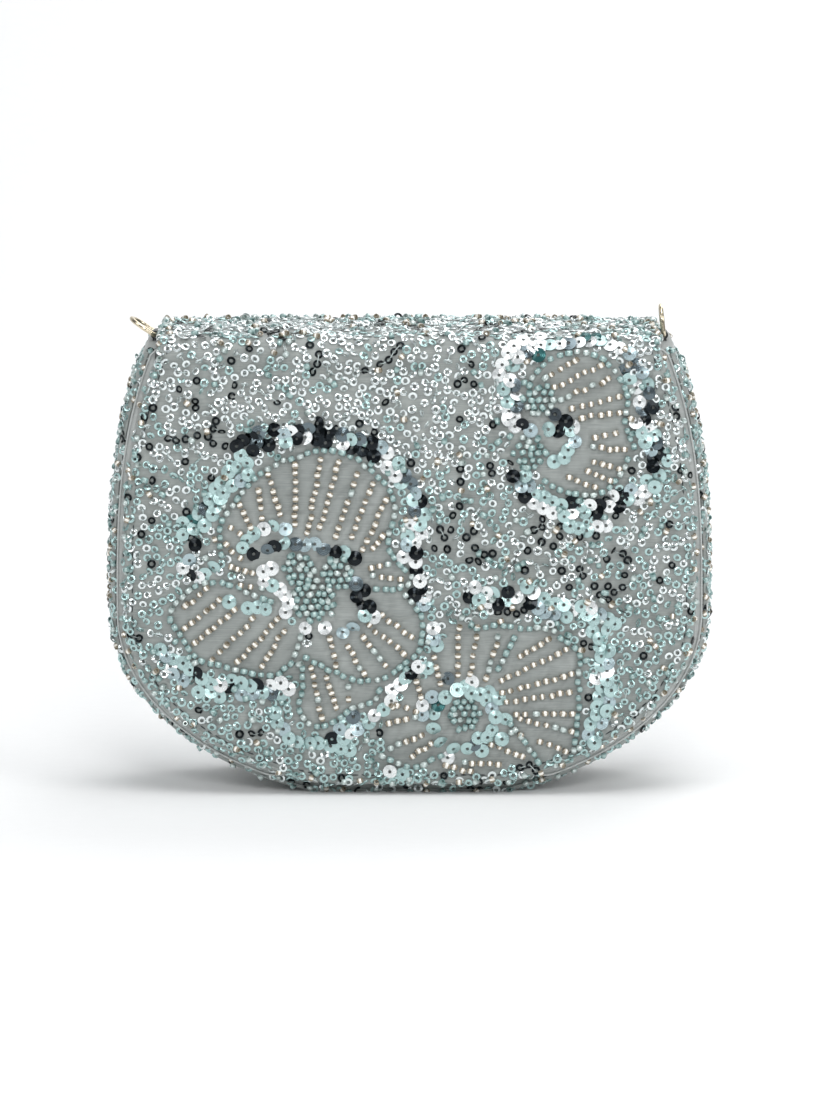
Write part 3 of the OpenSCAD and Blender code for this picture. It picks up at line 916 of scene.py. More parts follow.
def polygon(tree, sides):
    """A curve with sides round it, square on, that a unit circle just fits inside."""
    ring = tree.nodes.new("GeometryNodeCurvePrimitiveCircle")
    ring.inputs["Resolution"].default_value = sides
    ring.inputs["Radius"].default_value = 1 / math.cos(math.pi / sides)
    square_on = tree.nodes.new("GeometryNodeTransform")
    square_on.inputs["Rotation"].default_value = (0, 0, math.pi / sides)
    tree.links.new(ring.outputs["Curve"], square_on.inputs["Geometry"])
    return square_on.outputs[0]


def ring_tree(name, sides, section_sides, finishes):
    """Cupped rings on points: a flattened round section, tipped by the cup, swept round a circle."""
    tree, given, output = node_tree(name, ("Outer", "Hole", "Thickness", "Cup"))
    middle = maths(tree, "MULTIPLY", maths(tree, "ADD", given.outputs["Outer"], given.outputs["Hole"]), 0.25)
    wide = maths(
        tree, "MULTIPLY", maths(tree, "SUBTRACT", given.outputs["Outer"], given.outputs["Hole"]), 0.25)
    round_path = tree.nodes.new("GeometryNodeCurvePrimitiveCircle")
    round_path.inputs["Resolution"].default_value = sides
    tree.links.new(middle, round_path.inputs["Radius"])
    flatten = tree.nodes.new("GeometryNodeTransform")
    scale = tree.nodes.new("ShaderNodeCombineXYZ")
    tree.links.new(wide, scale.inputs["X"])
    tree.links.new(maths(tree, "MULTIPLY", given.outputs["Thickness"], 0.5), scale.inputs["Y"])
    scale.inputs["Z"].default_value = 1
    tip = tree.nodes.new("ShaderNodeCombineXYZ")
    tree.links.new(given.outputs["Cup"], tip.inputs["Z"])
    tree.links.new(polygon(tree, section_sides), flatten.inputs["Geometry"])
    tree.links.new(scale.outputs[0], flatten.inputs["Scale"])
    tipped = tree.nodes.new("GeometryNodeTransform")
    tree.links.new(flatten.outputs[0], tipped.inputs["Geometry"])
    tree.links.new(tip.outputs[0], tipped.inputs["Rotation"])
    sweep = tree.nodes.new("GeometryNodeCurveToMesh")
    tree.links.new(round_path.outputs["Curve"], sweep.inputs["Curve"])
    tree.links.new(tipped.outputs[0], sweep.inputs["Profile Curve"])
    span = tree.nodes.new("ShaderNodeVectorMath")
    span.operation = "LENGTH"
    tree.links.new(tree.nodes.new("GeometryNodeInputPosition").outputs[0], span.inputs[0])
    mark = tree.nodes.new("GeometryNodeStoreNamedAttribute")
    mark.data_type = "FLOAT"
    mark.inputs["Name"].default_value = "from_hole"
    tree.links.new(sweep.outputs[0], mark.inputs["Geometry"])
    tree.links.new(span.outputs["Value"], mark.inputs["Value"])
    set_on_points(tree, given.outputs["Geometry"], mark.outputs[0], finishes, output)
    return tree


def set_inputs(modifier, tree, values):
    """Sets a tree's named inputs on its modifier, by each socket's identifier."""
    for item in tree.interface.items_tree:
        if item.in_out == "INPUT" and item.name in values:
            modifier[item.identifier] = float(values[item.name])


def sewn_on(name, stitches, tree, sizes):
    """One plain mesh with a shape at each stitch: (place, facing, along, tilt, scale, finish)."""
    mesh = bpy.data.meshes.new(name)
    mesh.from_pydata([s[0] for s in stitches], [], [])
    turns, scales, finishes = [], [], []
    for _, facing, ahead, scale, finish in stitches:
        side = facing.cross(ahead).normalized()
        turn = Matrix((side.cross(facing), side, facing)).transposed()
        turns.append(turn.to_euler()[:])
        scales.append(scale)
        finishes.append(finish)
    for attribute, kind, field, values in (
        ("turn", "FLOAT_VECTOR", "vector", turns),
        ("size", "FLOAT_VECTOR", "vector", scales),
        ("finish", "INT", "value", finishes),
    ):
        made = mesh.attributes.new(attribute, kind, "POINT")
        made.data.foreach_set(field, np.array(values).ravel())
    made = bpy.data.objects.new(name, mesh)
    bpy.context.scene.collection.objects.link(made)
    modifier = made.modifiers.new("stitches", "NODES")
    modifier.node_group = tree
    set_inputs(modifier, tree, sizes)
    made = finished(made)
    made.data.shade_smooth()
    return made


SMALL_RINGS = ring_tree("small_rings", 10, 4, SMALL_FINISHES)
SMALL_SIZES = {"Outer": SMALL_OUTER, "Hole": SMALL_HOLE, "Thickness": SMALL_THICK, "Cup": SMALL_CUP}


class Crowd:
    """Remembers which places on a pattern are taken, in square cells."""

    def __init__(self, apart):
        self.apart, self.cells = apart, {}

    def free(self, a, b, apart=None, but=()):
        apart = apart or self.apart
        reach = int(math.ceil(apart / self.apart))
        i, j = int(a // self.apart), int(b // self.apart)
        for m in range(i - reach, i + reach + 1):
            for n in range(j - reach, j + reach + 1):
                for c, d in self.cells.get((m, n), ()):
                    if (c, d) not in but and math.hypot(a - c, b - d) < apart:
                        return False
        return True

    def add(self, a, b):
        self.cells.setdefault((int(a // self.apart), int(b // self.apart)), []).append((a, b))


def ring_chains(seed, low, high, wanted, crowd, density=1.0):
    """Wandering chains of two to five places, where wanted() allows and clear of what is there."""
    rng = random.Random(seed)
    count = int((high[0] - low[0]) * (high[1] - low[1]) / CLOTH_PER_RING * density)
    chains, placed, tries = [], 0, 0
    while placed < count and tries < 12 * count:
        tries += 1
        at = (rng.uniform(low[0], high[0]), rng.uniform(low[1], high[1]))
        heading = rng.uniform(0, 2 * math.pi)
        chain = []
        for _ in range(rng.randint(2, 5)):
            if not (wanted(*at) and crowd.free(*at, but=chain[-1:])):
                break
            chain.append(at)
            crowd.add(*at)
            heading += rng.uniform(-1.2, 1.2)
            step = SMALL_PITCH * rng.uniform(0.95, 1.15)
            at = (at[0] + step * math.cos(heading), at[1] + step * math.sin(heading))
        if chain:
            chains.append(chain)
        placed += len(chain)
    return chains


def tilted(facing, rng, amount):
    """A direction leaning off another by up to an amount, and one across it."""
    lean = Vector((rng.gauss(0, 1), rng.gauss(0, 1), rng.gauss(0, 1))) * amount
    facing = (facing + lean).normalized()
    across = facing.cross(Vector((rng.gauss(0, 1), rng.gauss(0, 1), rng.gauss(0, 1)))).normalized()
    return facing, across


def rings_at(chains, skin, seed, finish_at):
    """Stitches for the small rings of some chains on a skin."""
    rng = random.Random(seed)
    stitches = []
    for chain in chains:
        finish = finish_at(*chain[0], rng)
        for at in chain:
            spot = skin.spot(*at)
            if spot is None:
                continue
            if rng.random() < 0.25:
                finish = finish_at(*at, rng)
            loose = rng.random() ** 3
            facing, across = tilted(spot[1], rng, 0.14 + 0.4 * loose)
            scale = rng.uniform(0.92, 1.1)
            lift = RING_LIFT + (rng.uniform(0, 0.25) + 0.7 * loose) * MM
            stitches.append((spot[0] + spot[1] * lift, facing, across, (scale,) * 3, finish))
    return stitches


def mixed(silver, aqua, graphite):
    """A choice of finish in given shares, the same all over."""
    def choose(a, b, rng):
        return rng.choices((SILVER, AQUA, GRAPHITE_AND_DARK_REFLECTION), (silver, aqua, graphite))[0]
    return choose


def inside_pattern(skin, margin):
    """Tells whether a place lies within a skin's pattern, kept off its edge."""
    edge = np.asarray(skin.edge)

    def wanted(x, s):
        return 0 < s < edge[-1, 1] - margin and abs(x) < np.interp(s, edge[:, 1], edge[:, 0]) - margin
    return wanted

# ---------------------------------------------------------------- embroidery: seed beads on the flap
# Short glass tubes threaded in rows: teal along the petal outlines, silver-lined amber
# along the rays. The hearts are packed patches of teal beads.
def glass(name, colour, metal, roughness):
    """Glass bead: tinted, with a clear polished coat. Its bright middle-band copies are painted highlight,
    over a real silver lining on the amber beads.
    """
    material, shader = new_material(
        name, Metallic=metal, Roughness=roughness, Coat_Weight=1.0, Coat_Roughness=0.05)
    nodes, links = material.node_tree.nodes, material.node_tree.links
    shader.inputs["Base Color"].default_value = (*colour, 1)
    place = nodes.new("ShaderNodeTexCoord")
    streak = nodes.new("ShaderNodeTexNoise")
    streak.inputs["Scale"].default_value = 600
    links.new(place.outputs["Object"], streak.inputs["Vector"])
    bump = nodes.new("ShaderNodeBump")
    bump.inputs["Strength"].default_value = 0.25
    bump.inputs["Distance"].default_value = 0.1 * MM
    links.new(streak.outputs["Fac"], bump.inputs["Height"])
    links.new(bump.outputs["Normal"], shader.inputs["Normal"])
    return material


# the band finishes, on each bead's middle, are lighter copies of the end finishes: a painted highlight, which
# on the amber beads also stands for their silver lining
BEAD_FINISHES = [
    glass("bead_teal_highlight_band", (0.40, 0.54, 0.52), 0.3, 0.2),
    glass("bead_amber_lining_highlight_band", (0.98, 0.95, 0.87), 0.35, 0.18),
    glass("bead_pale_highlight_band", (0.66, 0.75, 0.73), 0.4, 0.2),
    glass("bead_teal_end", (0.19, 0.31, 0.30), 0.1, 0.3),
    glass("bead_amber_end", (0.27, 0.23, 0.165), 0.15, 0.25),
    glass("bead_pale_end", (0.33, 0.40, 0.38), 0.2, 0.3),
]
TEAL, AMBER, PALE = range(3)


def bead_tree():
    """Short tubes on points: an eight-sided section swept round the bead's axis, its middle marked for the
    painted highlight.
    """
    tree, given, output = node_tree("seed_beads", ("Length", "Diameter", "Hole"))
    middle = maths(
        tree, "MULTIPLY", maths(tree, "ADD", given.outputs["Diameter"], given.outputs["Hole"]), 0.25)
    wall = maths(
        tree, "MULTIPLY", maths(tree, "SUBTRACT", given.outputs["Diameter"], given.outputs["Hole"]), 0.25)
    round_path = tree.nodes.new("GeometryNodeCurvePrimitiveCircle")
    round_path.inputs["Resolution"].default_value = 8
    tree.links.new(middle, round_path.inputs["Radius"])
    scale = tree.nodes.new("ShaderNodeCombineXYZ")
    tree.links.new(wall, scale.inputs["X"])
    tree.links.new(maths(tree, "MULTIPLY", given.outputs["Length"], 0.5), scale.inputs["Y"])
    scale.inputs["Z"].default_value = 1
    shaped = tree.nodes.new("GeometryNodeTransform")
    tree.links.new(polygon(tree, 8), shaped.inputs["Geometry"])
    tree.links.new(scale.outputs[0], shaped.inputs["Scale"])
    sweep = tree.nodes.new("GeometryNodeCurveToMesh")
    tree.links.new(round_path.outputs["Curve"], sweep.inputs["Curve"])
    tree.links.new(shaped.outputs[0], sweep.inputs["Profile Curve"])
    height = tree.nodes.new("ShaderNodeSeparateXYZ")
    tree.links.new(tree.nodes.new("GeometryNodeInputPosition").outputs[0], height.inputs[0])
    off_middle = maths(tree, "ABSOLUTE", height.outputs["Z"])
    end = maths(tree, "GREATER_THAN", off_middle, maths(tree, "MULTIPLY", given.outputs["Length"], 0.2))
    mark = tree.nodes.new("GeometryNodeStoreNamedAttribute")
    mark.data_type = "INT"
    mark.domain = "FACE"
    mark.inputs["Name"].default_value = "part"
    tree.links.new(sweep.outputs[0], mark.inputs["Geometry"])
    tree.links.new(end, mark.inputs["Value"])
    set_on_points(tree, given.outputs["Geometry"], mark.outputs[0], BEAD_FINISHES, output)
    return tree


SEED_BEADS = bead_tree()
BEAD_SIZES = {"Length": BEAD_LONG, "Diameter": BEAD_ACROSS, "Hole": BEAD_HOLE}
flap_crowd = Crowd(SMALL_APART)
bead_rng = random.Random(11)
flap_beads = []


def lay_bead(skin, at, ahead, finish, rng, wander=0.12):
    """A bead at a place on a skin, its axis along a direction of the pattern."""
    spot = skin.spot(*at)
    if spot is None:
        return []
    nearby = skin.spot(at[0] + ahead[0] * 0.5 * MM, at[1] + ahead[1] * 0.5 * MM)
    axis = (nearby[0] - spot[0]).normalized() if nearby else Vector((1, 0, 0))
    axis = (axis + Vector((rng.gauss(0, 1), rng.gauss(0, 1), rng.gauss(0, 1))) * wander).normalized()
    scale = rng.uniform(0.9, 1.05)
    long = scale * rng.uniform(0.85, 1.15)
    return [(spot[0] + spot[1] * BEAD_ACROSS * 0.42, axis, spot[1], (scale, scale, long), finish)]


def bead_row(skin, places, finish, rng, crowd, other=None, other_share=0.0):
    """Beads along a row of places, with a few of another finish among them."""
    laid = []
    for i, at in enumerate(places):
        a, b = places[max(0, i - 1)], places[min(len(places) - 1, i + 1)]
        ahead = np.array(b) - np.array(a)
        ahead = ahead / max(np.linalg.norm(ahead), 1e-9)
        here = (at[0] + rng.gauss(0, 0.18) * MM, at[1] + rng.gauss(0, 0.18) * MM)
        kind = other if other is not None and rng.random() < other_share else finish
        laid += lay_bead(skin, here, ahead, kind, rng)
        crowd.add(*here)
    return laid


for row in outline_rows:
    flap_beads += bead_row(flap_skin, row, TEAL, bead_rng, flap_crowd, PALE, 0.25)
for row in ray_rows:
    flap_beads += bead_row(flap_skin, row, AMBER, bead_rng, flap_crowd, PALE, 0.05)
for flower in FLOWERS:
    for (x, z), radius in flower.hearts:
        reach = int(radius / HEART_PITCH * MM) + 1
        for i in range(-reach, reach + 1):
            for j in range(-reach, reach + 1):
                dx, dz = (i + 0.5 * (j % 2)) * HEART_PITCH / MM, j * 0.866 * HEART_PITCH / MM
                if math.hypot(dx, dz) > radius:
                    continue
                at = on_flap(x + dx + bead_rng.gauss(0, 0.3), z + dz + bead_rng.gauss(0, 0.3))
                way = bead_rng.uniform(0, math.pi)
                finish = PALE if bead_rng.random() < 0.3 else TEAL
                flap_beads += lay_bead(flap_skin, at, (math.cos(way), math.sin(way)), finish, bead_rng, 0.25)
                flap_crowd.add(*at)

# ---------------------------------------------------------------- embroidery: large sequins on the flap
# Flat plated discs with a small hole, ringed with fine grooves. They are sewn in
# overlapping rows round the petals, most of them pale and some nearly black. The nearly
# black discs are partly black sequins and partly painted dark reflection of the room.
LARGE_SIZES = {"Outer": LARGE_OUTER, "Hole": LARGE_HOLE, "Thickness": 0.22 * MM, "Cup": math.radians(9)}
# the black finish stands partly for black sequins and partly for painted dark reflection
LARGE_FINISHES = [
    plated("large_white", (0.86, 0.89, 0.89), 0.25, 0.7, coat=0.3),
    plated("large_aqua", (0.45, 0.62, 0.61), 0.28, 0.6, coat=0.3),
    plated("large_blue", (0.42, 0.53, 0.56), 0.27, 0.65, coat=0.3),
    plated("large_black_and_dark_reflection", (0.010, 0.014, 0.017), 0.13, 0.85, coat=0.15),
    plated("large_steel", (0.14, 0.18, 0.20), 0.2, 0.85, coat=0.2),
    plated("large_teal", (0.03, 0.13, 0.13), 0.25, 0.6, coat=0.3),
]
LARGE_DISCS = ring_tree("large_discs", 16, 4, LARGE_FINISHES)
disc_rng = random.Random(23)
flap_discs = []
for flower in FLOWERS:
    for points, rows, mix in flower.borders:
        places = curve_through(points, LARGE_PITCH)
        for i, at in enumerate(places):
            a, b = places[max(0, i - 1)], places[min(len(places) - 1, i + 1)]
            ahead = np.array(b) - np.array(a)
            ahead = ahead / max(np.linalg.norm(ahead), 1e-9)
            aside = np.array((ahead[1], -ahead[0]))
            for row in range(rows):
                off = (row - (rows - 1) / 2) * LARGE_PITCH * 1.1
                here = np.array(at) + aside * off + ahead * LARGE_PITCH * 0.5 * row
                here = here + np.array((disc_rng.gauss(0, 0.5), disc_rng.gauss(0, 0.5))) * MM
                crowded = not flap_crowd.free(*here, apart=2.3 * MM)
                if crowded or not inside_pattern(flap_skin, 2.2 * MM)(*here):
                    continue
                spot = flap_skin.spot(*here)
                nearby = flap_skin.spot(here[0] + ahead[0] * MM, here[1] + ahead[1] * MM)
                if spot is None or nearby is None:
                    continue
                way = (nearby[0] - spot[0]).normalized()
                facing = (spot[1] - way * disc_rng.uniform(0.05, 0.28)).normalized()
                facing, across = tilted(facing, disc_rng, 0.07)
                lift = 0.55 * MM + disc_rng.uniform(0, 0.7) * MM
                finish = disc_rng.choices(range(len(LARGE_FINISHES)), MIXES[mix])[0]
                scale = disc_rng.uniform(0.93, 1.05)
                flap_discs.append((spot[0] + spot[1] * lift, facing, across, (scale,) * 3, finish))
                flap_crowd.add(*here)
flap_large = sewn_on("flap_large_sequins", flap_discs, LARGE_DISCS, LARGE_SIZES)
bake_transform(flap_large)

# ---------------------------------------------------------------- embroidery: the ground of small rings, flap
# Small rings fill the ground between the flowers and run on over the flap's top.
def flap_ground(x, s):
    """The ground round the flowers."""
    return inside_pattern(flap_skin, 0.6 * MM)(x, s) and not any(in_outline(x, s, p) for p in petal_outlines)


def flap_finish_and_painted_reflections(x, s, rng):
    """Silver in the upper third as painted light mirrored from above, graphite mixed in on the right and
    upper left as painted dark reflection, and aqua lower down.
    """
    z = (flap_path.length - s + flap_low.z) / MM
    x = x / MM
    # painted reflection: graphite rings are made common where tilted rings mirror the dark room, and silver
    # rings common high up, where the top mirrors the light from above
    dark = 0.42 if (13 < x < 75 and 62 < z < 114) or (x < -56 and 86 < z < 134) else 0.08
    silver = 0.8 if z > 112 else 0.45 if z > 62 else 0.2
    return rng.choices((SILVER, AQUA, GRAPHITE_AND_DARK_REFLECTION), (silver, 1 - silver, dark))[0]


flap_edge = np.asarray(flap_skin.edge)
flap_half = float(flap_edge[:, 0].max())
flap_chains = ring_chains(31, (-flap_half, 0), (flap_half, flap_path.length), flap_ground, flap_crowd)
flap_small = sewn_on(
    "flap_small_sequins", rings_at(flap_chains, flap_skin, 32, flap_finish_and_painted_reflections), SMALL_RINGS, SMALL_SIZES)
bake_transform(flap_small)


def loose_beads(seed, skin, low, high, wanted, crowd, spacing):
    """Single beads dropped here and there between the rings."""
    rng = random.Random(seed)
    laid = []
    count = int((high[0] - low[0]) * (high[1] - low[1]) / spacing ** 2)
    for _ in range(4 * count):
        at = (rng.uniform(low[0], high[0]), rng.uniform(low[1], high[1]))
        if len(laid) < count and wanted(*at) and crowd.free(*at, apart=1.9 * MM):
            way = rng.uniform(0, math.pi)
            finish = rng.choices((TEAL, AMBER, PALE), (5, 4, 3))[0]
            laid += lay_bead(skin, at, (math.cos(way), math.sin(way)), finish, rng, 0.3)
            crowd.add(*at)
    return laid


flap_beads += loose_beads(
    33, flap_skin, (-flap_half, 0), (flap_half, flap_path.length), flap_ground, flap_crowd, 6.5 * MM)
flap_seed = sewn_on("flap_beads", flap_beads, SEED_BEADS, BEAD_SIZES)
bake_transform(flap_seed)

# ---------------------------------------------------------------- embroidery: the ground of small rings, body
# The same ground covers the back, the panel behind the flap and the gusset. It thins out
# towards the base, where the bag rests on plain satin.
def ground_on(name, skin, seed, low, high, wanted, finish_at, density, bead_spacing):
    """Small rings and loose beads on a skin: two pieces."""
    crowd = Crowd(SMALL_APART)
    chains = ring_chains(seed, low, high, wanted, crowd, density)
    small = sewn_on(
        name + "_small_sequins", rings_at(chains, skin, seed + 1, finish_at), SMALL_RINGS, SMALL_SIZES)
    beads = loose_beads(seed + 2, skin, low, high, wanted, crowd, bead_spacing)
    seed_beads = sewn_on(name + "_beads", beads, SEED_BEADS, BEAD_SIZES)
    return chains, small, seed_beads


back_half = float(np.asarray(back_skin.edge)[:, 0].max())
back_chains, back_small, back_seed = ground_on(
    "back", back_skin, 41, (-back_half, 0), (back_half, back_path.length - 5 * MM),
    inside_pattern(back_skin, 0.3 * MM), mixed(0.45, 0.5, 0.12), 1.0, 7 * MM)
for piece in (back_small, back_seed):
    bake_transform(piece)
front_half = float(np.asarray(front_skin.edge)[:, 0].max())


def round_the_snap(x, s):
    """The panel behind the flap, clear of the snap's socket."""
    socket_low, socket_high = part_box("snap_socket_cover")
    away = math.hypot(x, front_path.length - s - (socket_low.z + socket_high.z) / 2)
    return inside_pattern(front_skin, 0.1 * MM)(x, s) and s > 6 * MM and away > (socket_high.x + 2 * MM)


front_chains, front_small, front_seed = ground_on(
    "front_panel", front_skin, 51, (-front_half, 0), (front_half, front_path.length - 4 * MM),
    round_the_snap, mixed(0.3, 0.6, 0.15), 0.8, 9 * MM)
gusset_run = float(gusset_band.run[-1])


def gusset_ground(run, y):
    """The gusset's sides: full near the mouth, thinning towards the lower corners, bare under the base."""
    z = float(np.interp(run, gusset_band.run, gusset_band.line[:, 1]))
    seam = 0.5 * MM
    keep = smooth(14 * MM, 42 * MM, z)
    patch = 0.5 + 0.5 * noise.noise(Vector((run, y, 0)) * 90)
    return seam < run < gusset_run - seam and patch < keep and z > 8 * MM and not near_tab(z, y)


def near_tab(z, y):
    return z > mouth_z - 5 * MM


gusset_chains, gusset_small, gusset_seed = ground_on(
    "gusset", gusset_band, 61, (0, gusset_front + 1 * MM), (gusset_run, gusset_back - 1 * MM),
    gusset_ground, mixed(0.35, 0.6, 0.15), 1.1, 5 * MM)
for piece in (front_small, front_seed, gusset_small, gusset_seed):
    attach(piece, "body")

# ---------------------------------------------------------------- embroidery: rims
# Rings and beads are sewn right over the rolled edges of the flap and both panels, so
# each edge looks knobbly from the front.
RIM_RING_SPACING, RIM_BEAD_SPACING, RIM_LEAN = 2.9 * MM, 5.5 * MM, 0.3
RIM_TURN_LEAST, RIM_TURN_MOST = 0.1, 1.5
RIM_LIFT_LEAST, RIM_LIFT_MOST = 0.4, 0.9
RIM_BEAD_LIFT = 0.42


def rim_spots(skin, spacing, rng):
    """Places round a skin's rolled edge, on both sides, and which way each faces."""
    line, outward = pulled_in(along(np.asarray(skin.edge), spacing), BACK_ROLL)
    for (x, s), (out_x, out_s) in zip(line, outward):
        for side in (-1, 1):
            turn = rng.uniform(RIM_TURN_LEAST, RIM_TURN_MOST)
            reach, depth = BACK_ROLL * math.sin(turn), BACK_ROLL * (1 - math.cos(turn))
            near, far = (
                Vector(skin.place(side * (x + out_x * r), s + out_s * r, -depth))
                for r in (reach, reach + 1 * MM)
            )
            up = Vector((0, *skin.path.at(s)[1]))
            facing = (far - near).normalized() * math.sin(turn) + up * math.cos(turn)
            yield near, facing.normalized()


def rim_pieces(name, skin, seed):
    """The rings and the beads over a skin's rolled edge: two pieces."""
    rng = random.Random(seed)
    rings = []
    for place, facing in rim_spots(skin, RIM_RING_SPACING, rng):
        leaning, across = tilted(facing, rng, RIM_LEAN)
        finish = rng.choices((SILVER, AQUA, GRAPHITE_AND_DARK_REFLECTION), (3, 6, 1))[0]
        lifted = place + facing * rng.uniform(RIM_LIFT_LEAST, RIM_LIFT_MOST) * MM
        rings.append((lifted, leaning, across, (rng.uniform(0.9, 1.1),) * 3, finish))
    beads = []
    for place, facing in rim_spots(skin, RIM_BEAD_SPACING, rng):
        leaning, axis = tilted(facing, rng, RIM_LEAN)
        finish = rng.choices((TEAL, AMBER, PALE), (4, 4, 3))[0]
        lifted = place + facing * BEAD_ACROSS * RIM_BEAD_LIFT
        beads.append((lifted, axis, leaning, (rng.uniform(0.85, 1.0),) * 3, finish))
    ring_piece = sewn_on(name + "_rim_sequins", rings, SMALL_RINGS, SMALL_SIZES)
    bead_piece = sewn_on(name + "_rim_beads", beads, SEED_BEADS, BEAD_SIZES)
    return ring_piece, bead_piece


for piece in rim_pieces("flap", flap_skin, 65):
    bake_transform(piece)
for piece in rim_pieces("back", back_skin, 66):
    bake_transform(piece)
for piece in rim_pieces("front_panel", front_skin, 67):
    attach(piece, "body")

# ---------------------------------------------------------------- embroidery: threads
# Pale and dark threads run from the middle of each ring, over its rim and on to the next
# ring of its chain.
THREAD_THICK = 0.32 * MM
THREAD_FINISHES = []
THREAD_COLOURS = (("pale_thread", (0.55, 0.63, 0.62)), ("dark_thread", (0.025, 0.035, 0.037)))
for thread_name, thread_colour in THREAD_COLOURS:
    thread, thread_shader = new_material(thread_name, Roughness=0.5, Sheen_Weight=0.3)
    thread_shader.inputs["Base Color"].default_value = (*thread_colour, 1)
    twist = thread.node_tree.nodes.new("ShaderNodeTexNoise")
    twist.inputs["Scale"].default_value = 1500
    thread_bump = thread.node_tree.nodes.new("ShaderNodeBump")
    thread_bump.inputs["Distance"].default_value = 0.05 * MM
    thread.node_tree.links.new(twist.outputs["Fac"], thread_bump.inputs["Height"])
    thread.node_tree.links.new(thread_bump.outputs["Normal"], thread_shader.inputs["Normal"])
    THREAD_FINISHES.append(thread)


def thread_tree(material):
    """A round thread swept along each line of the mesh."""
    tree, given, output = node_tree("thread_" + material.name, ("Thickness",))
    line = tree.nodes.new("GeometryNodeMeshToCurve")
    tree.links.new(given.outputs["Geometry"], line.inputs["Mesh"])
    section = tree.nodes.new("GeometryNodeCurvePrimitiveCircle")
    section.inputs["Resolution"].default_value = 4
    tree.links.new(maths(tree, "MULTIPLY", given.outputs["Thickness"], 0.5), section.inputs["Radius"])
    sweep = tree.nodes.new("GeometryNodeCurveToMesh")
    sweep.inputs["Fill Caps"].default_value = True
    tree.links.new(line.outputs["Curve"], sweep.inputs["Curve"])
    tree.links.new(section.outputs["Curve"], sweep.inputs["Profile Curve"])
    real = tree.nodes.new("GeometryNodeRealizeInstances")
    tree.links.new(sweep.outputs[0], real.inputs[0])
    coat = tree.nodes.new("GeometryNodeSetMaterial")
    coat.inputs["Material"].default_value = material
    tree.links.new(real.outputs[0], coat.inputs["Geometry"])
    tree.links.new(coat.outputs[0], output.inputs["Geometry"])
    return tree


def threads_on(name, skin, chains, seed, material, share):
    """Threads over a share of the chains, as one mesh."""
    rng = random.Random(seed)
    vertices, edges = [], []
    for chain in chains:
        if rng.random() > share:
            continue
        for a, b in zip(chain, chain[1:]):
            spots = [
                skin.spot(a[0] + (b[0] - a[0]) * t, a[1] + (b[1] - a[1]) * t) for t in (0, 0.25, 0.75, 1)
            ]
            if None in spots:
                continue
            heights = (0.1 * MM, 0.85 * MM, 0.85 * MM, 0.1 * MM)
            start = len(vertices)
            vertices += [spot[0] + spot[1] * h for spot, h in zip(spots, heights)]
            edges += [(start + k, start + k + 1) for k in range(3)]
    mesh = bpy.data.meshes.new(name)
    mesh.from_pydata([v[:] for v in vertices], edges, [])
    made = bpy.data.objects.new(name, mesh)
    bpy.context.scene.collection.objects.link(made)
    modifier = made.modifiers.new("threads", "NODES")
    tree = thread_tree(material)
    modifier.node_group = tree
    set_inputs(modifier, tree, {"Thickness": THREAD_THICK})
    made = finished(made)
    return made


pale, dark = THREAD_FINISHES
for number, (material, share) in enumerate(((pale, 0.75), (dark, 0.3))):
    shade_name = ("pale", "dark")[number]
    flap_threads = threads_on(
        f"flap_{shade_name}_threads", flap_skin, flap_chains, 71 + number, material, share)
    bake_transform(flap_threads)
    back_threads = threads_on(
        f"back_{shade_name}_threads", back_skin, back_chains, 73 + number, material, share)
    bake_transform(back_threads)
for region, skin, chains in (
        ("front_panel", front_skin, front_chains), ("gusset", gusset_band, gusset_chains)):
    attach(threads_on(f"{region}_threads", skin, chains, 77, pale, 0.8), "body")


# ---------------------------------------------------------------- stitching round the flap's edge
# A running stitch of dark thread holds the turned edge, just inside the rim.
def stitch_tree():
    """Short plump stitches on points: a six-sided ball drawn out along its axis."""
    tree, given, output = node_tree("running_stitch", ("Length", "Thickness"))
    ball = tree.nodes.new("GeometryNodeMeshUVSphere")
    ball.inputs["Segments"].default_value = 6
    ball.inputs["Rings"].default_value = 4
    ball.inputs["Radius"].default_value = 0.5
    scale = tree.nodes.new("ShaderNodeCombineXYZ")
    tree.links.new(given.outputs["Thickness"], scale.inputs["X"])
    tree.links.new(given.outputs["Thickness"], scale.inputs["Y"])
    tree.links.new(given.outputs["Length"], scale.inputs["Z"])
    drawn = tree.nodes.new("GeometryNodeTransform")
    tree.links.new(ball.outputs["Mesh"], drawn.inputs["Geometry"])
    tree.links.new(scale.outputs[0], drawn.inputs["Scale"])
    set_on_points(tree, given.outputs["Geometry"], drawn.outputs[0], [dark, pale], output)
    return tree


RUNNING_STITCH = stitch_tree()
STITCH_SIZES = {"Length": 2.4 * MM, "Thickness": 0.5 * MM}
STITCH_PITCH = 3.0 * MM
DARK_STITCH, PALE_STITCH = 0, 1


def stitches_along(name, spots, finish, seed, sizes=STITCH_SIZES):
    """A stitch at each spot (place, facing), lying along the line of spots."""
    rng = random.Random(seed)
    laid = []
    for i, (place, facing) in enumerate(spots):
        before, after = spots[max(0, i - 1)][0], spots[min(len(spots) - 1, i + 1)][0]
        way = (after - before).normalized()
        way = (way + Vector([rng.gauss(0, 0.06) for _ in range(3)])).normalized()
        scale = rng.uniform(0.85, 1.1)
        laid.append((place + facing * 0.1 * MM, way, facing, (1, 1, scale), finish))
    made = sewn_on(name, laid, RUNNING_STITCH, sizes)
    return made


edge_line, _ = pulled_in(np.asarray(flap_skin.edge), 2.6 * MM)
edge_line = along(edge_line, STITCH_PITCH)
edge_line = np.concatenate([edge_line, (edge_line * (-1, 1))[::-1][1:]])
edge_spots = [spot for spot in (flap_skin.spot(x, s) for x, s in edge_line[1:-1]) if spot]
edge_stitches = stitches_along("flap_edge_stitches", edge_spots, DARK_STITCH, 81)
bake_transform(edge_stitches)

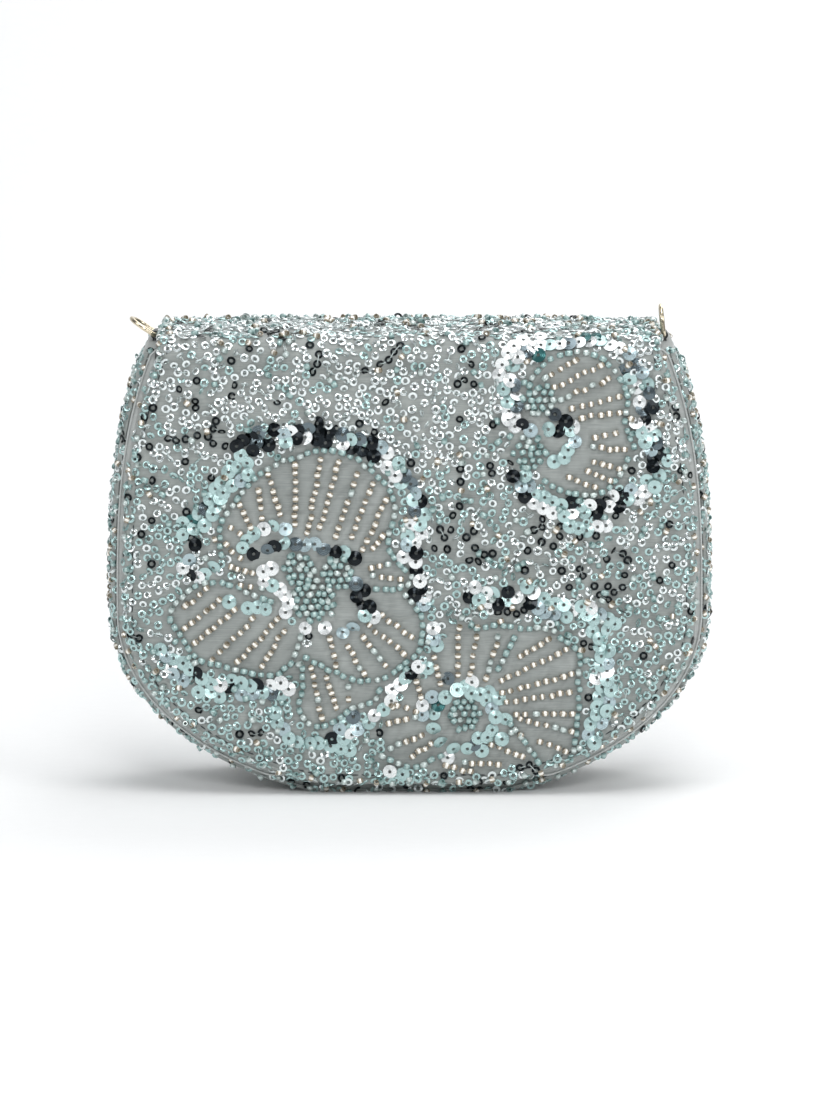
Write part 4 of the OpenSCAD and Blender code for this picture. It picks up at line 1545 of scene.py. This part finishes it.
# ---------------------------------------------------------------- linings
# Thin pale satin lines the pouch and the flap. Each lining is glued to its board, turned
# in along its edges, and one of them runs unbroken over the hinge.
LINING, LINING_ROLL, TURNED_IN = 0.5 * MM, 0.6 * MM, 0.4 * MM
lining_satin = woven("lining_satin", (0.40, 0.42, 0.41), (0.50, 0.52, 0.51), roughness=0.36, depth=0.15)
lining_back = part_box("back_lining")[0].y
lining_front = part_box("front_lining")[1].y
lining_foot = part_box("gusset_lining")[0].z + LINING_ROLL
roof_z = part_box("flap_top_lining")[0].z - 0.05 * MM
FLAP_TURNING = 2.3 * MM


def flat_area(skin):
    """Area of a right-hand pattern and its mirror image."""
    edge = np.asarray(skin.edge)
    return float(np.sum((edge[1:, 0] + edge[:-1, 0]) * np.diff(edge[:, 1])))


def lining_piece(skin, *nodes):
    """A lining's finished sheet; the area of its pattern is worked out but not used."""
    made = sewn(skin, lining_satin, LINING)
    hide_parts(*nodes)
    edge = np.asarray(skin.edge)
    flat_area(skin)
    return made


def flush(x, s, u, v):
    return np.zeros_like(x)


def inset(node, y, distance):
    """A panel's outline at y, moved inwards."""
    return pulled_in(along(outline_of(node, y), STEP), distance)[0]


lining_path = Path([(middle_y, roof_z), (lining_back, roof_z), (lining_back, lining_foot)], FORWARD, 0.6 * MM)
lining_edge = down_path(
    lining_path, inset("back_lining", lining_back, TURNED_IN), top_high.x - FLAP_TURNING, 1 * MM)
back_lining = lining_piece(
    Skin("back_and_hinge_lining", lining_path, lining_edge, LINING_ROLL, math.pi / 2, flush),
                           "back_lining", "flap_top_lining")
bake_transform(back_lining)
flap_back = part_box("flap_front_lining")[1].y + 0.05 * MM
lining_path = Path(
    [(middle_y, roof_z), (flap_back, roof_z), (flap_back, flap_low.z + FLAP_TURNING)], BACKWARD, 1 * MM)
lining_edge = down_path(lining_path, inset("flap_front_fabric", flap_low.y, FLAP_TURNING),
                        top_high.x - FLAP_TURNING, 1 * MM)
flap_lining = lining_piece(Skin("flap_lining", lining_path, lining_edge, LINING_ROLL, math.pi / 2, flush),
                           "flap_front_lining")
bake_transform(flap_lining)
front_inner = inset("front_lining", lining_front, TURNED_IN)
lining_path = Path([(lining_front, mouth_z), (lining_front, lining_foot)], BACKWARD)
front_lining = lining_piece(
    Skin("front_lining_sheet", lining_path, upright_pattern(front_inner, lining_foot, lining_path.length),
         LINING_ROLL, math.pi / 2, flush), "front_lining")
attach(front_lining, "body")
gusset_inner = inset("back_lining", lining_back, LINING_ROLL)
gusset_inner = np.concatenate([[(front_inner[0, 0], mouth_z)], gusset_inner[gusset_inner[:, 1] < mouth_z]])
gusset_lining_band = Band("gusset_lining_sheet", gusset_inner, np.linspace(lining_front, lining_back, 12),
                          lambda line, ys: np.zeros((len(line), len(ys))), facing=-1)
gusset_lining = sewn(gusset_lining_band, lining_satin, LINING)
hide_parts("gusset_lining")
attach(gusset_lining, "body")


# ---------------------------------------------------------------- mouth binding
# A woven tape is folded over the raw edges of the front panel and both gussets, and
# stitched through all layers. Its ends are tucked into the back panel's corners.
class Strip:
    """A rectangular grid of points as a sheet: rows of points, and each point's place on the flat cloth."""

    def __init__(self, name, rows, away):
        rows = np.asarray(rows, float)
        self.name, self.vertices = name, rows.reshape(-1, 3)
        count, width = rows.shape[:2]
        run = np.cumsum(np.linalg.norm(np.diff(rows, axis=0, prepend=rows[:1]), axis=2).mean(1))
        across = np.cumsum(np.linalg.norm(np.diff(rows, axis=1, prepend=rows[:, :1]), axis=2), axis=1)
        self.flat = np.stack([np.broadcast_to(run[:, None], across.shape), across], -1).reshape(-1, 2)
        self.size = float(across[:, -1].mean()), float(run[-1])
        index = np.arange(count * width).reshape(count, width)
        self.faces = [
            (int(index[i, j]), int(index[i, j + 1]), int(index[i + 1, j + 1]), int(index[i + 1, j]))
            for i in range(count - 1)
            for j in range(width - 1)
        ]
        a, b, c = (Vector(self.vertices[i]) for i in self.faces[len(self.faces) // 2][:3])
        if (b - a).cross(c - a).dot(Vector(away)) < 0:
            self.faces = [f[::-1] for f in self.faces]


NARROWEST_SHEET = 10 * MM


def tape_piece(strip, material, thickness, slot, *nodes):
    """A strip's finished tape or ribbon; its flat size is compared with the narrowest sheet, and the result
    is not used. A strip's finished tape or ribbon, declared at its flat size unless it is too narrow for a
    sheet.
    """
    made = sewn(strip, material, thickness)
    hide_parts(*nodes)
    min(strip.size) > NARROWEST_SHEET
    return made


TAPE, TAPE_DEEP, TAPE_ROUND = 0.4 * MM, 4.0 * MM, 2.2 * MM
tape_weave = woven("mouth_tape", (0.20, 0.22, 0.21), (0.28, 0.30, 0.29), threads=900.0, roughness=0.6)
wall_half = (lining_front - front_low.y) / 2
tape_half = wall_half + TAPE + 0.1 * MM
rim_x = front_outline[0, 0] - wall_half
rim_y = (front_low.y + lining_front) / 2
tape_top = mouth_z + 0.6 * MM
lean = (float(np.interp(-mouth_z + TAPE_DEEP, -body_outline[:, 1], body_outline[:, 0]))
        - float(np.interp(-mouth_z, -body_outline[:, 1], body_outline[:, 0]))) / TAPE_DEEP
turn_x, turn_y = rim_x + tape_half - TAPE_ROUND, rim_y - tape_half + TAPE_ROUND
ends_y = back_low.y
stations = [(turn_x, y, 1.0, 0.0) for y in np.linspace(ends_y, turn_y, 26)]
stations += [(turn_x, turn_y, math.cos(t), -math.sin(t)) for t in np.linspace(0, math.pi / 2, 7)[1:-1]]
stations += [(x, turn_y, 0.0, -1.0) for x in np.linspace(turn_x, 0, 42)]
stations += [(-x, y, -out_x, out_y) for x, y, out_x, out_y in stations[-2::-1]]
fold_over = [(1, 1.0), (1, 0.6), (1, 0.2), (0.93, 0.08), (0.75, 0.015), (0.4, 0.0), (0, 0.0)]
fold_over += [(-a, d) for a, d in fold_over[-2::-1]]


def tape_row(x, y, out_x, out_y):
    """The tape's section at one station of the rim: out, over the wall's top and down its inner side."""
    row = []
    for a, d in fold_over:
        radius = a * tape_half - tape_half + TAPE_ROUND
        px, py = x + out_x * radius, y + out_y * radius
        if radius < 0:
            px = math.copysign(min(abs(px), turn_x + radius), px)
            py = max(py, turn_y - radius)
        row.append((px + out_x * lean * d * TAPE_DEEP, py, tape_top - d * TAPE_DEEP))
    return row


tape_strip = Strip("mouth_tape", [tape_row(*station) for station in stations], (0, 0, 1))
mouth_tape = tape_piece(tape_strip, tape_weave, TAPE, "tape", "mouth_binding")
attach(mouth_tape, "body")
FINE_STITCH = {"Length": 1.7 * MM, "Thickness": 0.32 * MM}
seam_z = tape_top - TAPE_DEEP * 0.8
for side, name in ((1, "outer"), (-1, "inner")):
    seam = []
    for x, y, out_x, out_y in stations[2:-2]:
        point = tape_row(x, y, out_x, out_y)[0 if side > 0 else -1]
        way = Vector((out_x, out_y, 0)) * side
        seam.append((Vector((point[0] - out_x * lean * 0.2 * TAPE_DEEP, point[1], seam_z)), way))
    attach(stitches_along(f"mouth_tape_{name}_stitches", seam, PALE_STITCH, 84, FINE_STITCH), "body")

# ---------------------------------------------------------------- slip pocket
# A single layer of the lining satin, stitched to the back lining along three sides. Its
# top edge hangs slightly open and is bound with the woven tape.
pocket_low, pocket_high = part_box("slip_pocket")
hem_low, hem_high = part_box("slip_pocket_hem")
POCKET_SLACK, POCKET_SHEET = 1.6 * MM, 0.45 * MM


def pocket_point(x, z, off=0.0):
    """A point of the pocket: it stands off the lining most in the middle of its open top."""
    u = x / pocket_high.x
    v = (z - pocket_low.z) / (hem_high.z - pocket_low.z)
    slack = (1 - abs(u) ** 3) * math.sin(math.pi / 2 * max(v, 0)) ** 2
    wave = 0.25 * MM * math.sin(u * 7) * v
    return x, lining_back - POCKET_SHEET - 0.1 * MM - slack * (POCKET_SLACK + wave) - off, z


pocket_xs = np.linspace(pocket_low.x, pocket_high.x, 34)
pocket_zs = np.linspace(pocket_low.z, hem_low.z + 1 * MM, 24)
pocket_rows = [[pocket_point(x, z) for x in pocket_xs] for z in pocket_zs]
pocket = tape_piece(Strip("pocket_cloth", pocket_rows, (0, -1, 0)),
                    lining_satin, POCKET_SHEET, "lining", "slip_pocket")
hem_rows = [(0.35, 0.0), (0.42, 0.45), (0.38, 0.93), (0.0, 1.0), (-0.45, 0.93), (-0.5, 0.5), (-0.5, 0.05)]
hem_tall = hem_high.z - hem_low.z
hem_strip = Strip(
    "pocket_hem_tape",
    [[pocket_point(x, hem_low.z + v * hem_tall, off * MM) for x in pocket_xs] for off, v in hem_rows],
    (0, -1, 0))
hem = tape_piece(hem_strip, tape_weave, 0.3 * MM, "tape", "slip_pocket_hem")
inside_seam = 1.5 * MM
corners = [(pocket_low.x + inside_seam, hem_high.z), (pocket_low.x + inside_seam, pocket_low.z + inside_seam),
           (pocket_high.x - inside_seam, pocket_low.z + inside_seam),
           (pocket_high.x - inside_seam, hem_high.z)]
towards = Vector((0, -1, 0))
pocket_seam = [(Vector(pocket_point(x, z, 0.5 * MM if z > hem_low.z else 0)), towards)
               for x, z in along(np.array(corners), 2.4 * MM)]
hem_seam = [(Vector(pocket_point(x, hem_low.z + inside_seam, 0.4 * MM)), towards)
            for x in np.arange(pocket_low.x + 2 * MM, pocket_high.x - 2 * MM, 2.4 * MM)]
pocket_stitches = stitches_along("pocket_seam_stitches", pocket_seam, PALE_STITCH, 85, FINE_STITCH)
hem_stitches = stitches_along("pocket_hem_stitches", hem_seam, PALE_STITCH, 86, FINE_STITCH)
for piece in (pocket, hem, pocket_stitches, hem_stitches):
    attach(piece, "body")

# ---------------------------------------------------------------- ring tabs
# A short length of black ribbon is doubled round each ring's bar. Both of its ends are
# glued in the side wall, between the outer fabric and the board.
RIBBON = 0.5 * MM
ribbon_weave = woven(
    "black_ribbon", (0.018, 0.022, 0.022), (0.05, 0.055, 0.055), threads=700.0, roughness=0.55, depth=0.5)
for side, name in ((-1, "left"), (1, "right")):
    bar = pivots[name + "_ring_swing"]
    tab_low, tab_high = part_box(name + "_ring_tab")
    loop = (tab_high.z - bar.z) - 0.02 * MM
    outer_x = [(float(np.interp(-z, -body_outline[:, 1], body_outline[:, 0])) - FABRIC - 0.25 * MM, z)
               for z in np.linspace(tab_low.z + 1 * MM, mouth_z, 5)]
    section = [(x, z) for x, z in outer_x]
    section += [(abs(bar.x) + loop * math.sin(t), bar.z - loop * math.cos(t))
                for t in np.linspace(math.radians(35), math.radians(325), 18)]
    section += [(x - 2 * RIBBON, z) for x, z in outer_x[::-1]]
    rows = [[(side * x, y, z) for y in np.linspace(tab_low.y, tab_high.y, 6)] for x, z in section]
    ribbon = Strip(name + "_ribbon_tab", rows, (side, 0, 1))
    made = tape_piece(ribbon, ribbon_weave, RIBBON, "ribbon", name + "_ring_tab")
    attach(made, "body")


# ---------------------------------------------------------------- metal parts and boards
# The D-rings are pale gold plated wire and the snap is bright nickel over its magnet. The
# boards are dense grey card.
def shaded(name, dark, pale, scale, **sockets):
    """A cloudy mix of two tones, with the same cloud in a slight bump."""
    material, shader = new_material(name, **sockets)
    nodes, links = material.node_tree.nodes, material.node_tree.links
    place = nodes.new("ShaderNodeTexCoord")
    cloud = nodes.new("ShaderNodeTexNoise")
    cloud.inputs["Scale"].default_value = scale
    cloud.inputs["Detail"].default_value = 5
    links.new(place.outputs["Object"], cloud.inputs["Vector"])
    ramp = nodes.new("ShaderNodeValToRGB")
    ramp.color_ramp.elements[0].position = 0.35
    ramp.color_ramp.elements[0].color = (*dark, 1)
    ramp.color_ramp.elements[1].position = 0.65
    ramp.color_ramp.elements[1].color = (*pale, 1)
    links.new(cloud.outputs["Fac"], ramp.inputs["Fac"])
    links.new(ramp.outputs["Color"], shader.inputs["Base Color"])
    bump = nodes.new("ShaderNodeBump")
    bump.inputs["Strength"].default_value = 0.3
    bump.inputs["Distance"].default_value = 0.05 * MM
    links.new(cloud.outputs["Fac"], bump.inputs["Height"])
    links.new(bump.outputs["Normal"], shader.inputs["Normal"])
    return material


gold = shaded("pale_gold", (0.62, 0.53, 0.38), (0.78, 0.70, 0.54), 500, Metallic=1.0, Roughness=0.18)
nickel = shaded("bright_nickel", (0.60, 0.61, 0.61), (0.74, 0.74, 0.73), 300, Metallic=1.0, Roughness=0.16)
ferrite = shaded("magnet_ferrite", (0.04, 0.04, 0.045), (0.08, 0.08, 0.085), 900, Roughness=0.5)
card = shaded("grey_card", (0.20, 0.19, 0.18), (0.30, 0.29, 0.27), 250, Roughness=0.9)
FINISHES = {"ring_metal": gold, "snap_metal": nickel, "magnet": ferrite, "board": card}
for node in frame["nodes"].values():
    for place in node.material_slots:
        place.material = FINISHES.get(place.material.name.split(".")[0], place.material)
